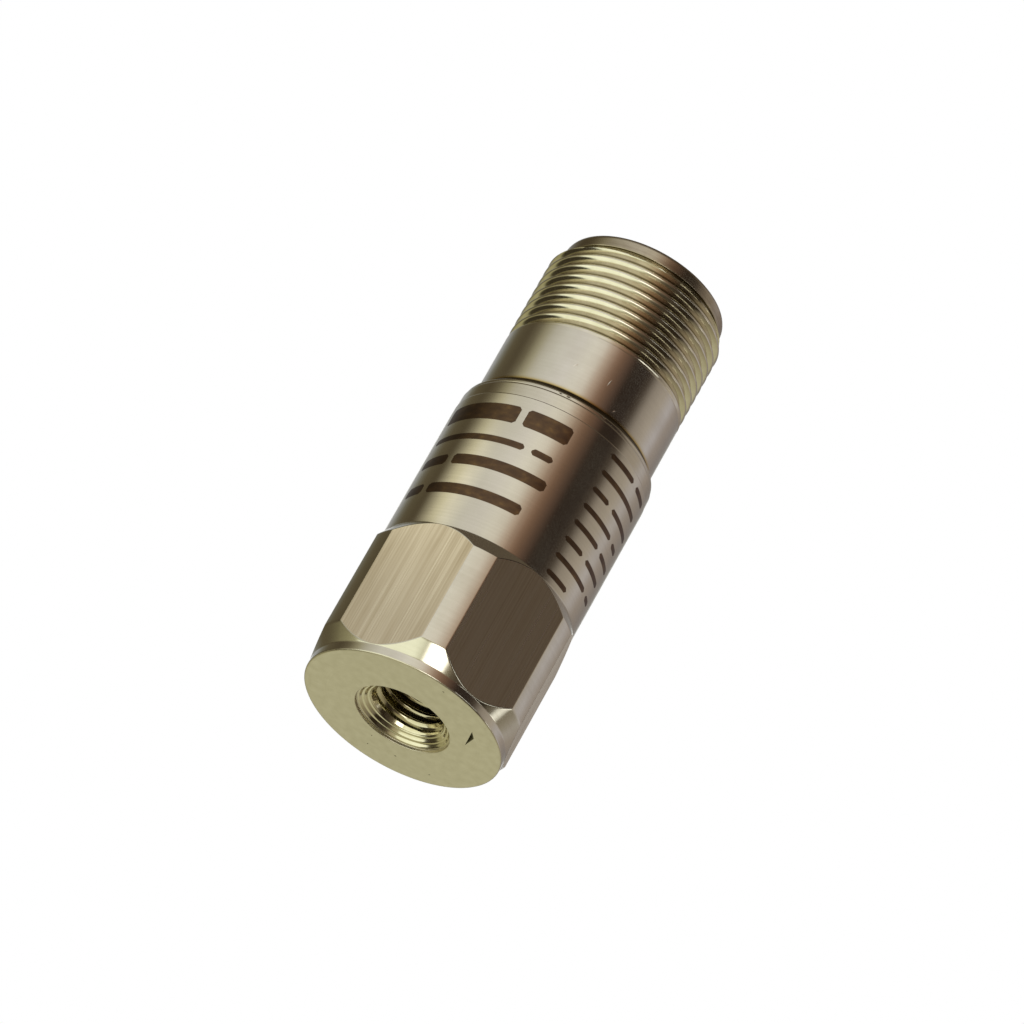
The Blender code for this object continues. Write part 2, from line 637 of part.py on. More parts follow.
def make_board(board_material):
    """Round circuit board with holes for its screws and the element's wires."""
    board = rod("circuit_board", BOARD_RADIUS, (0, 0, BOARD_BOTTOM), (0, 0, BOARD_TOP), THREAD_TURN,
                board_material)
    lead_x = ELECTRODE_INNER + ELECTRODE_THICKNESS / 2
    screw_hole = BOARD_SCREW_DIAMETER / 2 + FIT_GAP
    lead_hole = ELEMENT_LEAD_DIAMETER / 2 + FIT_GAP
    holes = []
    for side in (-1, 1):
        holes.append(("screw_hole", screw_hole, 0.0, side * STANDOFF_OFFSET))
        holes.append(("lead_hole", lead_hole, side * lead_x, ELECTRODE_TAB_OFFSET))
    for name, radius, x, y in holes:
        start = (x, y, BOARD_BOTTOM - FIT_GAP)
        end = (x, y, BOARD_TOP + FIT_GAP)
        cut(board, rod(name, radius, start, end, TINY_TURN))


def make_board_fixings(brass, steel):
    """Standoffs that stand in the base plate, and the slotted screws that hold the board on them."""
    pillar = STANDOFF_DIAMETER / 2
    stud = STANDOFF_STUD_DIAMETER / 2
    stud_tip = INNER_FLOOR + STANDOFF_FLOOR + FIT_GAP
    bottom = PLATE_TOP + FIT_GAP
    top = BOARD_BOTTOM - FIT_GAP
    screw_bore = BOARD_SCREW_DIAMETER / 2 + FIT_GAP
    head_seat = BOARD_TOP + FIT_GAP
    screw_tip = head_seat - BOARD_SCREW_LENGTH
    standoff = [
        (0.0, screw_tip - FIT_GAP),
        (screw_bore, screw_tip - FIT_GAP),
        (screw_bore, top),
        (pillar, top),
        (pillar, bottom),
        (stud, bottom),
        (stud, stud_tip),
        (0.0, stud_tip),
    ]
    head_top = head_seat + BOARD_SCREW_HEAD_HEIGHT
    screw = [
        (0.0, head_top),
        (BOARD_SCREW_HEAD_DIAMETER / 2, head_top),
        (BOARD_SCREW_HEAD_DIAMETER / 2, head_seat),
        (BOARD_SCREW_DIAMETER / 2, head_seat),
        (BOARD_SCREW_DIAMETER / 2, screw_tip),
        (0.0, screw_tip),
    ]
    for letter, side in (("a", -1), ("b", 1)):
        y = side * STANDOFF_OFFSET
        turned("board_standoff_" + letter, standoff, TINY_TURN, brass).location.y = y
        fixing = turned("board_screw_" + letter, screw, TINY_TURN, steel)
        fixing.location.y = y
        size = (SLOT_WIDTH, BOARD_SCREW_HEAD_DIAMETER + FIT_GAP, 2 * SLOT_DEPTH)
        cut(fixing, block("screw_slot", size, (0, y, head_top), None))


def make_component(name, size, place, material):
    """A block-shaped component standing on the board."""
    centre = (place[0], place[1], BOARD_TOP + FIT_GAP + size[2] / 2)
    block(name, size, centre, material, CHIP_BEVEL)


def make_components(black, ceramic):
    """The charge amplifier's components."""
    head_edge = STANDOFF_OFFSET - BOARD_SCREW_HEAD_DIAMETER / 2 - COMPONENT_GAP
    capacitor_y = head_edge - OUTPUT_CAPACITOR_SIZE[1] / 2
    diode_y = -head_edge + DIODE_SIZE[1] / 2
    left, beside = -RESISTOR_PLACE[0], RESISTOR_PLACE[1]
    make_component("amplifier_chip", AMPLIFIER_SIZE, AMPLIFIER_PLACE, black)
    make_component("input_capacitor", INPUT_CAPACITOR_SIZE, INPUT_CAPACITOR_PLACE, ceramic)
    make_component("output_capacitor", OUTPUT_CAPACITOR_SIZE, (0, capacitor_y), ceramic)
    make_component("feedback_resistor", RESISTOR_SIZE, (left, beside), black)
    make_component("bias_resistor", RESISTOR_SIZE, RESISTOR_PLACE, black)
    make_component("protection_diode", DIODE_SIZE, (0, diode_y), black)


def make_wire(name, points, diameter, material):
    """A wire through the given points."""
    curve = bpy.data.curves.new(name, "CURVE")
    curve.dimensions = "3D"
    curve.bevel_depth = diameter / 2
    curve.bevel_resolution = 2
    curve.use_fill_caps = True
    spline = curve.splines.new("POLY")
    spline.points.add(len(points) - 1)
    for spot, point in zip(spline.points, points):
        spot.co = (*point, 1.0)
    curve.materials.append(material)
    wire = bpy.data.objects.new(name, curve)
    bpy.context.scene.collection.objects.link(wire)


def make_output_leads(red, black):
    """Wires from the middle of the board straight up through the screen's roof, then out to the cups."""
    start = BOARD_TOP + FIT_GAP
    end = CUP_BOTTOM + OUTPUT_LEAD_IN_CUP
    straight = CUP_BOTTOM - OUTPUT_LEAD_DIAMETER
    steps = 16
    for name, side, material in (("output_lead_a", -1, red), ("output_lead_b", 1, black)):
        points = []
        for i in range(steps + 1):
            z = start + (end - start) * i / steps
            rise = min(max((z - CAN_TOP) / (straight - CAN_TOP), 0.0), 1.0)
            blend = rise * rise * (3 - 2 * rise)
            x = (OUTPUT_LEAD_SPACING + (CONTACT_SPACING - OUTPUT_LEAD_SPACING) * blend) / 2
            y = OUTPUT_LEAD_BOW * math.sin(math.pi * rise) ** 2
            points.append((side * x, side * y, z))
        make_wire(name, points, OUTPUT_LEAD_DIAMETER, material)


def make_element_leads(white):
    """Short wires from the electrode tabs up through the board."""
    start = ELECTRODE_TAB_TOP + FIT_GAP
    end = BOARD_TOP + ELEMENT_LEAD_ABOVE_BOARD
    x = ELECTRODE_INNER + ELECTRODE_THICKNESS / 2
    for name, side in (("element_lead_left", -1), ("element_lead_right", 1)):
        points = [(side * x, ELECTRODE_TAB_OFFSET, start), (side * x, ELECTRODE_TAB_OFFSET, end)]
        make_wire(name, points, ELEMENT_LEAD_DIAMETER, white)


def main():
    """Build the whole sensor."""
    clear_scene()
    housing_steel = make_material("brushed_stainless", "B5AC90", 1.0, 0.30)
    connector_steel = make_material("turned_stainless", "BDB59B", 1.0, 0.28)
    element_steel = make_material("ground_steel", "A9A79F", 1.0, 0.35)
    tungsten = make_material("sintered_tungsten", "6E6C69", 1.0, 0.45)
    tin_plate = make_material("tin_plate", "C9C8C2", 1.0, 0.30)
    plated = make_material("gold_plated_contact", "D4B25E", 1.0, 0.22)
    brass = make_material("rolled_brass", "C2A35A", 1.0, 0.35)
    glass = make_material("sealing_glass", "2E4A42", 0.0, 0.15)
    ceramic = make_material("alumina", "E8E4D8", 0.0, 0.55)
    capacitor_ceramic = make_material("capacitor_ceramic", "A98B66", 0.0, 0.50)
    piezo = make_material("piezoceramic", "CFC6A6", 0.0, 0.60)
    film = make_material("polyimide_film", "B5762A", 0.0, 0.35)
    board_material = make_material("glass_epoxy_board", "2F6B45", 0.0, 0.45)
    moulded_black = make_material("moulded_epoxy", "26262A", 0.0, 0.55)
    red = make_material("red_insulation", "A8322B", 0.0, 0.45)
    black = make_material("black_insulation", "232326", 0.0, 0.45)
    white = make_material("white_insulation", "E3E1DA", 0.0, 0.45)

    make_housing(housing_steel)
    make_connector_shell(connector_steel)
    make_glass_insert(glass)
    make_contacts(plated)
    make_insulation(ceramic, film)
    make_shield_can(tin_plate)
    make_element_base(element_steel)
    make_stack(piezo, brass, tungsten, film)
    make_preload_bolt(element_steel)
    make_preload_nut(element_steel)
    make_board(board_material)
    make_board_fixings(brass, element_steel)
    make_components(moulded_black, capacitor_ceramic)
    make_output_leads(red, black)
    make_element_leads(white)


main()
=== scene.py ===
import json
from math import acos, asin, atan2, ceil, cos, degrees, exp, hypot, pi, radians, sin, tan, tau

import bmesh
import bpy
from mathutils import Matrix, Vector
from mathutils.geometry import delaunay_2d_cdt


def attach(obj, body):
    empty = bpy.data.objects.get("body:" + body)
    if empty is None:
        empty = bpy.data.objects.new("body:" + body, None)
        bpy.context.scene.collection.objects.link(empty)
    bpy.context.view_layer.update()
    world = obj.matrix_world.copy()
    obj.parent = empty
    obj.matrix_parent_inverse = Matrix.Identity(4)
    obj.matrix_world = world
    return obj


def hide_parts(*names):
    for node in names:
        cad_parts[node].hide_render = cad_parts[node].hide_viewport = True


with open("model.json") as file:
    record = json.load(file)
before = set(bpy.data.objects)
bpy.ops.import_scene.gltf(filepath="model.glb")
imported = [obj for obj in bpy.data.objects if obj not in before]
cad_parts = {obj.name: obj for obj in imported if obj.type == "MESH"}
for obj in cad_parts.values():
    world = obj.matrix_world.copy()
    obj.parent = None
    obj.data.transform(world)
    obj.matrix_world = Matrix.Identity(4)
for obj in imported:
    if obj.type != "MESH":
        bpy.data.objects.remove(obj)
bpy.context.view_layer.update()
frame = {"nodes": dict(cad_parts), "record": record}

MM = 0.001

# Housing
BODY_RADIUS = 8.71
FLAT_RADIUS = 8.73  # from the axis to a milled flat
BAR_RADIUS = 9.525  # of the round lands between the flats
COLLAR_TOP = 0.80
HEXAGON_TOP = 13.20
LOWER_CONE_ANGLE = radians(27)
UPPER_CONE_ANGLE = radians(30)
BODY_TOP = 28.95
BAND_BOTTOM = 26.90  # polished band under the body's top edge
HOUSING_COLUMNS = 240
FACE_RING = 8.26  # outer limit of the plain part of the base face
MOUTH_RING = 4.50  # inner limit of the plain part of the base face
LAND_EDGE_BLEND = 0.03
WELD_FOOT = 28.56
WELD_RADIUS = 8.44
# The body's top edge from the seam groove over the weld bead: radius, height, rounding
WELD_OUTLINE = ((8.65, 28.05, 0.12), (8.57, 28.17, 0.03), (8.58, 28.24, 0.04), (8.55, 28.46, 0.08),
                (8.42, 28.58, 0.04), (8.36, 28.60, 0.04), (8.17, 28.84, 0.10), (8.05, 28.98, 0.05))
CAVITY_RADIUS = 7.40
CAVITY_FLOOR = 9.60
SPIGOT_BORE = 8.2375
SHELL_SEAT = 25.00

# Stud hole, tapped 1/4-28
STUD_COLUMNS = 144
STUD_PITCH = 25.4 / 28
STUD_MINOR = 2.73
STUD_MAJOR = 3.175
STUD_MOUTH = 0.96  # height at which the countersink meets the thread's outer radius
STUD_MOUTH_RADIUS = 3.18
STUD_DEPTH = 6.60
STUD_DRILL_TIP = 8.24
RECESS_RADIUS = 4.19
# Steps that the countersink and the tap left in the mouth: radius, height, rounding
MOUTH_STEPS = ((4.00, 0.33, 0.04), (3.82, 0.54, 0.04), (3.66, 0.59, 0.04), (3.44, 0.82, 0.04),
               (3.30, 0.86, 0.03), (3.25, 0.92, 0.02))

# Marks left on the base face by handling
DENT = ((5.43, -1.03), (5.93, -2.68), (5.61, -3.62))
DENT_TIP = (5.62, -2.40, 0.26)
PITS = ((2.40, -7.39, 0.09), (-2.02, 6.44, 0.08), (0.43, 6.16, 0.10), (-1.92, 4.86, 0.07), (3.53, 6.35, 0.08))

# Rows of plain bars etched on the body: height of the row's middle, height of its bars, angle at which the
# row starts, and the lengths of its bars
ETCHED_ROWS = (
    (24.95, 1.70, -163.0, (7.8, 4.0)),
    (22.25, 0.62, -163.0, (9.6, 1.9)),
    (19.85, 1.05, -163.0, (3.4, 8.6)),
    (16.85, 1.05, -163.0, (2.4, 8.8)),
    *((level, 0.50, -57.0, bars) for level, bars in (
        (26.10, (3.5, 2.7)), (24.38, (6.5,)), (22.66, (2.2, 4.4)), (20.94, (4.5, 1.5)), (19.22, (3.6, 2.8)),
        (17.50, (2.4, 3.5)), (15.78, (4.9, 1.3)), (14.06, (2.8,)))),
)
BAR_GAP = 0.65

# Small marks: angle, height, length and width, tilt, and radius of the wall they are on
NECK_SCRATCHES = ((-99.6, 31.65, 0.50, 0.16, 65, 7.94), (-98.6, 31.75, 0.35, 0.10, 80, 7.94),
                  (-76.6, 31.7, 0.80, 0.08, 80, 7.94), (-66, 29.8, 0.40, 0.08, 60, 7.94))
WELD_PITS = ((-92.6, 28.32, 0.44, 0.17, 4, 8.58), (-97.4, 28.33, 0.34, 0.15, -6, 8.58),
             (-70.5, 28.36, 0.30, 0.12, 0, 8.58), (61.0, 28.33, 0.40, 0.16, 3, 8.58),
             (148, 28.35, 0.32, 0.14, 0, 8.58))

# Connector, thread 5/8-24
SHELL_COLUMNS = 216
NECK_RADIUS = 7.9375
THREAD_PITCH = 25.4 / 24
THREAD_DEPTH = 0.65
THREAD_BOTTOM = 34.90
THREAD_TOP = 43.95
LIP_RADIUS = 7.25
RIM = 45.40
SOCKET_RADIUS = 6.20
GLASS_TOP = 35.60
GLASS_BOTTOM = 33.10
GLASS_LEDGE = 32.80
GLASS_RADIUS = 6.19
GLASS_COLUMNS = 96
GLASS_RINGS = 26
WALL_CREEP = (0.22, 0.30)  # how high the glass creeps up the wall, and from how far off
CONTACT_CREEP = (0.20, 0.22)  # the same at the contacts
SHELL_BORE = 5.20
SHELL_BOTTOM = 25.30
KEYWAY_HALF = 1.20
KEYWAY_REACH = 6.70
CONTACT_OFFSET = 2.40
CONTACT_RADIUS = 0.80
CONTACT_TIP = 43.90
CONTACT_TIP_ROUND = 0.50
CONTACT_COLUMNS = 48
CUP_RADIUS = 1.00  # solder cup under the glass
CUP_BORE = 0.65
CUP_TOP = 32.50
CUP_BORE_TOP = 31.50
CUP_BOTTOM = 29.90

# The camera of the photo: where it stands, and its right, down and forward directions
CAMERA_PLACE = (45.83, -530.93, -275.47)
CAMERA_RIGHT = (0.88716, -0.16369, 0.43145)
CAMERA_DOWN = (0.45516, 0.46445, -0.75969)
CAMERA_FORWARD = (-0.07603, 0.87034, 0.48654)
CAMERA_LENS = 265.8
CAMERA_AZIMUTH = radians(-85.066)

# The soft reflector: azimuth from the camera, distance from the axis, height, and half its width and height
REFLECTOR_AZIMUTH = -76
REFLECTOR_AWAY = 60.0
REFLECTOR_HEIGHT = 46.5
REFLECTOR_HALF = (34.0, 14.0)

# The room round the sensor. Walls and table: azimuth from the camera in degrees, and colour.
WALL_COLOURS = (
    (-180, "9A9A98"), (-156, "A7A9AD"), (-144, "7D7C74"), (-132, "635B49"), (-110, "544B3C"), (-96, "6E6654"),
    (-84, "A49F8A"), (-72, "C8C6C2"), (-58, "DDDCDC"), (-36, "EAE8ED"), (-20, "F1EFEF"), (-9, "E8E2E0"),
    (0, "C4B1A7"), (10, "967A6C"), (16, "7E6355"), (25, "604C44"), (34, "332A26"), (50, "312825"),
    (60, "4A403A"), (72, "9C938F"), (90, "B2A9A4"), (108, "BFBBC5"), (122, "A49A99"), (144, "8E8788"),
    (180, "9A9A98"))
TABLE_COLOURS = (
    (-180, "D2D3BA"), (-158, "AEAA88"), (-125, "A6A280"), (-60, "AAA68A"), (0, "B4AE96"), (12, "A89E8A"),
    (22, "5E5448"), (40, "3E362E"), (64, "544C42"), (90, "7E766A"), (112, "9C947E"), (135, "B8B49E"),
    (180, "D2D3BA"))
TABLE_LEVELS = (0.02, -0.24)  # sines of the elevations between which the walls turn into the table
NADIR = (-0.94, -0.995, "B2AA88")  # the same for the spot straight below, and its colour
CEILING = (0.72, 0.92, "5E544A")  # the same for the ceiling
UPRIGHT_COLOUR = "2E261E"
UPRIGHT_SIDE = (-0.757, 0.628, 0.181)  # direction across the dark upright
UPRIGHT_MIDDLE = 0.085  # where its middle is along that direction
UPRIGHT_HALF = (0.22, 0.13)  # half its width with the soft edge, and without
UPRIGHT_AHEAD = (0.52, 0.75, -0.41)  # direction towards it
BACKDROP_EDGE = (0.975, 0.99)  # cosines off the view between which the white backdrop begins
# A white card low on the left, a dark thing beyond it, a small lamp below, and four small lamps on the right:
# azimuth from the camera, elevation, size in degrees, share of the size at full strength, colour, power
LAMPS = (
    (-55, -38, 38, 0.84, "FBFFF0", 1.2), (-119, -40, 22, 0.8, "3A3428", 1.0),
    (0, -28, 13, 0.6, "FFFFFF", 3.2), (84, -9, 7, 0.6, "FFFFFF", 1.4), (38, 3, 7, 0.5, "FFFFFF", 1.7),
    (48, 3, 7, 0.5, "FFFFFF", 1.4), (58, 4, 7, 0.5, "FFFFFF", 1.1))

FLOOR_RADIUS = 3000.0
FLOOR_DROP = 0.02  # gap between the base face and the floor
MERGE_DISTANCE = 0.0015  # corners nearer to each other than this become one
SHARP_ANGLE = radians(38)  # an edge that bends more than this is shaded sharp
FACE_EDGE_ANGLE = radians(6)  # the same on the edges of the base face


def linear(hex_colour):
    """Turn an sRGB hex colour into the linear RGBA that a socket takes."""
    channels = [int(hex_colour[i:i + 2], 16) / 255 for i in (0, 2, 4)]
    return tuple(c / 12.92 if c <= 0.04045 else ((c + 0.055) / 1.055) ** 2.4 for c in channels) + (1.0,)


def fill(node, inputs):
    """Set or link a node's inputs. Each takes a value, a socket or a node."""
    for key, value in inputs.items():
        if isinstance(value, bpy.types.Node):
            value = value.outputs[0]
        if isinstance(value, bpy.types.NodeSocket):
            node.id_data.links.new(value, node.inputs[key])
        else:
            node.inputs[key].default_value = value


def add_node(tree, kind, inputs=(), stops=(), **settings):
    """Add a node with its settings, inputs and ramp stops.

    A kind without Node in its name is a shader node, and a math node's operation follows after a dot.
    Inputs are a dictionary, or a tuple for the first sockets in their order.
    """
    kind, _, operation = kind.partition(".")
    node = tree.nodes.new(kind if "Node" in kind else "ShaderNode" + kind)
    if operation:
        node.operation = operation
    for name, value in settings.items():
        setattr(node, name, value)
    fill(node, inputs if isinstance(inputs, dict) else dict(enumerate(inputs)))
    for i, (place, colour) in enumerate(stops):
        elements = node.color_ramp.elements
        element = elements[i] if i < 2 else elements.new(place)
        element.position = place
        element.color = linear(colour)
    return node


# Shapes


def rounded_outline(corners, steps=3, guard=0.12):
    """Points (r, z) of an outline whose corners are rounded, with a true stretch on both sides of each.

    A corner is (r, z, reach), where reach is how far the rounding goes along each side. Outlines with
    as many corners have as many points, so columns of different shape can be joined.
    """
    spots = [complex(r, z) for r, z, reach in corners]
    points = [spots[0]]
    for before, here, after, corner in zip(spots, spots[1:], spots[2:], corners[1:]):
        shorter = min(abs(before - here), abs(after - here))
        reach = min(corner[2], 0.4 * shorter)
        if not reach:
            points += [here] * (steps + 3)
            continue
        margin = min(guard, 0.08 * shorter)
        back = (before - here) / abs(before - here)
        ahead = (after - here) / abs(after - here)
        start, end = here + back * reach, here + ahead * reach
        bend = [start * (1 - s) ** 2 + here * 2 * s * (1 - s) + end * s ** 2
                for s in (i / steps for i in range(steps + 1))]
        points += [start + back * margin, *bend, end + ahead * margin]
    return [(point.real, point.imag) for point in points + [spots[-1]]]


def join_columns(shape, columns, angles):
    """Skin columns of (r, z) points that stand at the given angles round the axis."""
    found = {}

    def corner(point, angle):
        x, y = point[0] * cos(angle), point[0] * sin(angle)
        key = (round(x, 5), round(y, 5), round(point[1], 5))
        if key not in found:
            found[key] = shape.verts.new((x * MM, y * MM, point[1] * MM))
        return found[key]

    rings = [[corner(p, angle) for p in column] for column, angle in zip(columns, angles)]
    for left, right in zip(rings, rings[1:] + rings[:1]):
        for i in range(len(left) - 1):
            quad = []
            for vertex in (left[i], right[i], right[i + 1], left[i + 1]):
                if vertex not in quad:
                    quad.append(vertex)
            if len(quad) > 2:
                shape.faces.new(quad)


def round_angles(count):
    """Evenly spaced angles round the axis."""
    return [tau * i / count for i in range(count)]


def turn_outline(shape, outline, count):
    """Turn one outline of (r, z) points round the axis."""
    join_columns(shape, [outline] * count, round_angles(count))


def soft_least(a, b, blend):
    """The smaller of two values, with the change from one to the other rounded off."""
    overlap = max(blend - abs(a - b), 0.0) / blend
    return min(a, b) - overlap * overlap * blend / 4


def thread_tree():
    """Geometry nodes for a helical thread, as a grid whose columns climb by one pitch in a turn.

    Rows past either end are held at that end and merged there, so the result is a clean tube.
    Side is 1 for an outer thread that starts at Bottom, and -1 for an inner one that hangs from Bottom.
    """
    tree = bpy.data.node_groups.new("helical_thread", "GeometryNodeTree")
    tree.interface.new_socket("Geometry", in_out="OUTPUT", socket_type="NodeSocketGeometry")
    for kind, names in (
            ("Float", ("Side", "Bottom", "Length", "Pitch", "Crest radius", "Root radius", "Crest share",
                       "Root share", "Lead radius", "Lead length", "Run-out", "Flank rounding", "Burr",
                       "Burr grain")),
            ("Int", ("Columns", "Rows a turn", "Turns", "Seed")), ("Material", ("Material",))):
        for name in names:
            tree.interface.new_socket(name, in_out="INPUT", socket_type="NodeSocket" + kind)
    given = add_node(tree, "NodeGroupInput").outputs

    columns = add_node(tree, "Math.ADD", (given["Columns"], 1.0))
    rows = add_node(tree, "Math.MULTIPLY_ADD", (given["Rows a turn"], given["Turns"], 1.0))
    grid = add_node(tree, "GeometryNodeMeshGrid", {"Vertices X": columns, "Vertices Y": rows})
    spot = add_node(tree, "SeparateXYZ", (add_node(tree, "GeometryNodeInputPosition"),))
    around = add_node(tree, "Math.ADD", (spot.outputs["X"], 0.5))
    along = add_node(tree, "Math.ADD", (spot.outputs["Y"], 0.5))
    turn = add_node(tree, "Math.MULTIPLY_ADD", (along, given["Turns"], -1.0))
    climbed = add_node(tree, "Math.ADD", (turn, around))
    climbed = add_node(tree, "Math.MULTIPLY", (climbed, given["Pitch"]))
    rise = add_node(tree, "Clamp", (climbed, 0.0, given["Length"]))
    height = add_node(tree, "Math.MULTIPLY_ADD", (rise, given["Side"], given["Bottom"]))

    # How far the profile has sunk from crest to root at this place in the pitch
    phase = add_node(tree, "Math.FRACT", (turn,))
    away = add_node(tree, "Math.SUBTRACT", (phase, 0.5))
    away = add_node(tree, "Math.ABSOLUTE", (away,))
    half_crest = add_node(tree, "Math.MULTIPLY", (given["Crest share"], 0.5))
    half_root = add_node(tree, "Math.MULTIPLY_ADD", (given["Root share"], -0.5, 0.5))
    straight = add_node(tree, "MapRange", (away, half_crest, half_root))
    curved = add_node(tree, "Math.POWER", (straight, 2.0))
    sunk = add_node(tree, "Mix", {0: given["Flank rounding"], 2: straight, 3: curved})
    fade = add_node(tree, "MapRange", (rise, 0.0, given["Run-out"]))
    sunk = add_node(tree, "Math.MULTIPLY", (sunk, fade))
    depth = add_node(tree, "Math.SUBTRACT", (given["Root radius"], given["Crest radius"]))
    profile = add_node(tree, "Math.MULTIPLY_ADD", (depth, sunk, given["Crest radius"]))

    # Chamfer that the thread starts from
    left = add_node(tree, "Math.SUBTRACT", (given["Length"], rise))
    slope = add_node(tree, "Math.SUBTRACT", (given["Crest radius"], given["Lead radius"]))
    slope = add_node(tree, "Math.DIVIDE", (slope, given["Lead length"]))
    lead = add_node(tree, "Math.MULTIPLY_ADD", (left, slope, given["Lead radius"]))
    profile = add_node(tree, "Math.MULTIPLY", (profile, given["Side"]))
    lead = add_node(tree, "Math.MULTIPLY", (lead, given["Side"]))
    radius = add_node(tree, "Math.MINIMUM", (profile, lead))
    radius = add_node(tree, "Math.MULTIPLY", (radius, given["Side"]))

    angle = add_node(tree, "Math.MULTIPLY", (around, given["Side"]))
    angle = add_node(tree, "Math.MULTIPLY", (angle, tau))
    cosine = add_node(tree, "Math.COSINE", (angle,))
    sine = add_node(tree, "Math.SINE", (angle,))
    outward = add_node(tree, "CombineXYZ", (cosine, sine))
    upright = add_node(tree, "CombineXYZ", {"Z": height})

    def at_radius(reach):
        """The point of the surface when it stands this far from the axis."""
        reached = add_node(tree, "VectorMath.SCALE", {0: outward, "Scale": reach})
        return add_node(tree, "VectorMath.ADD", (reached, upright))

    # Torn edge where the thread starts in its chamfer
    grain = add_node(tree, "Math.DIVIDE", (1.0, given["Burr grain"]))
    noise = add_node(tree, "TexNoise", {
        "Vector": at_radius(radius), "W": given["Seed"], "Scale": grain, "Detail": 1.0,
    }, noise_dimensions="4D")
    rough = add_node(tree, "Math.SUBTRACT", (noise, 0.5))
    near_end = add_node(tree, "MapRange", (left, given["Lead length"], 0.0))
    crest = add_node(tree, "Math.SUBTRACT", (1.0, sunk))
    ended = add_node(tree, "Math.GREATER_THAN", (left, 1e-6))
    amount = near_end
    for factor in (crest, ended, given["Burr"]):
        amount = add_node(tree, "Math.MULTIPLY", (amount, factor))
    radius = add_node(tree, "Math.MULTIPLY_ADD", (rough, amount, radius))

    moved = add_node(tree, "GeometryNodeSetPosition", {"Geometry": grid, "Position": at_radius(radius)})
    merged = add_node(tree, "GeometryNodeMergeByDistance", {"Geometry": moved, "Distance": 2e-6})
    smooth = add_node(tree, "GeometryNodeSetShadeSmooth", {"Geometry": merged})
    real = add_node(tree, "GeometryNodeRealizeInstances", {"Geometry": smooth})
    finished = add_node(tree, "GeometryNodeSetMaterial", {"Geometry": real, "Material": given["Material"]})
    add_node(tree, "NodeGroupOutput", (finished,))
    return tree


def grow_thread(tree, shape, lengths, others):
    """Run the thread's tree with these inputs, lengths in millimetres, and add the plain mesh to a shape."""
    values = {**{name: length * MM for name, length in lengths.items()}, **others}
    holder = bpy.data.objects.new("thread_holder", bpy.data.meshes.new("thread_holder"))
    bpy.context.scene.collection.objects.link(holder)
    step = holder.modifiers.new("thread", "NODES")
    step.node_group = tree
    for socket in tree.interface.items_tree:
        if socket.in_out == "INPUT" and socket.name in values:
            step[socket.identifier] = values[socket.name]
    seen = holder.evaluated_get(bpy.context.evaluated_depsgraph_get())
    mesh = bpy.data.meshes.new_from_object(seen)
    holder.modifiers.remove(step)
    bpy.data.objects.remove(holder, do_unlink=True)
    shape.from_mesh(mesh)
    bpy.data.meshes.remove(mesh)


def add_object(name, shape):
    """Turn a shape into an object of the scene."""
    mesh = bpy.data.meshes.new(name)
    shape.to_mesh(mesh)
    shape.free()
    made = bpy.data.objects.new(name, mesh)
    bpy.context.scene.collection.objects.link(made)
    return made


def finish_piece(name, shape, finishes, choose):
    """Close, orient and shade a shape, give each face its finish, and return its object."""
    bmesh.ops.remove_doubles(shape, verts=shape.verts, dist=MERGE_DISTANCE * MM)
    bmesh.ops.dissolve_degenerate(shape, edges=shape.edges, dist=1e-7)
    bmesh.ops.recalc_face_normals(shape, faces=shape.faces)
    names = list(finishes)
    for face in shape.faces:
        face.smooth = True
        centre = face.calc_center_median() / MM
        face.material_index = names.index(choose(centre, face.normal))
    for edge in shape.edges:
        level = any(abs(f.normal.z) > 0.99999 and f.calc_center_median().z < 1e-9 for f in edge.link_faces)
        edge.smooth = edge.calc_face_angle(0.0) < (FACE_EDGE_ANGLE if level else SHARP_ANGLE)
    piece = add_object(name, shape)
    for key in names:
        piece.data.materials.append(finishes[key])
    return piece


def housing_angles():
    """Column angles of the housing, close together where a flat meets a land."""
    edge = degrees(acos(FLAT_RADIUS / BAR_RADIUS))
    close = []
    for flat in range(0, 360, 60):
        for side in (-1, 1):
            close += [flat + side * edge + step for step in (-0.8, -0.45, -0.2, 0.0, 0.2, 0.45, 0.8)]
    even = [360 * i / HOUSING_COLUMNS for i in range(HOUSING_COLUMNS)]
    even = [a for a in even if min(abs((a - c + 180) % 360 - 180) for c in close) > 0.6]
    return sorted(radians(a % 360) for a in even + close)


def housing_column(angle):
    """Outline of the housing at one angle, from the base face over the weld to the hollow's floor."""
    off = (degrees(angle) + 30) % 60 - 30
    reach = soft_least(FLAT_RADIUS / cos(radians(off)), BAR_RADIUS, LAND_EDGE_BLEND)
    low = COLLAR_TOP + (reach - BODY_RADIUS) / tan(LOWER_CONE_ANGLE)
    high = HEXAGON_TOP - (reach - BODY_RADIUS) / tan(UPPER_CONE_ANGLE)
    return rounded_outline([
        (FACE_RING, 0.0, 0), (BODY_RADIUS, 0.0, 0.14), (BODY_RADIUS, COLLAR_TOP, 0.05),
        (reach, low, 0.08), (reach, high, 0.08), (BODY_RADIUS, HEXAGON_TOP, 0.08),
        (BODY_RADIUS, BAND_BOTTOM - 0.06, 0.03), (BODY_RADIUS - 0.04, BAND_BOTTOM, 0.04),
        *WELD_OUTLINE, (NECK_RADIUS - 0.01, 29.14, 0), (NECK_RADIUS - 0.01, BODY_TOP - 0.30, 0),
        (SPIGOT_BORE, BODY_TOP - 0.30, 0), (SPIGOT_BORE, SHELL_SEAT, 0),
        (CAVITY_RADIUS, SHELL_SEAT, 0), (CAVITY_RADIUS, CAVITY_FLOOR + 0.3, 0),
        (CAVITY_RADIUS - 0.3, CAVITY_FLOOR, 0), (0.0, CAVITY_FLOOR, 0),
    ])


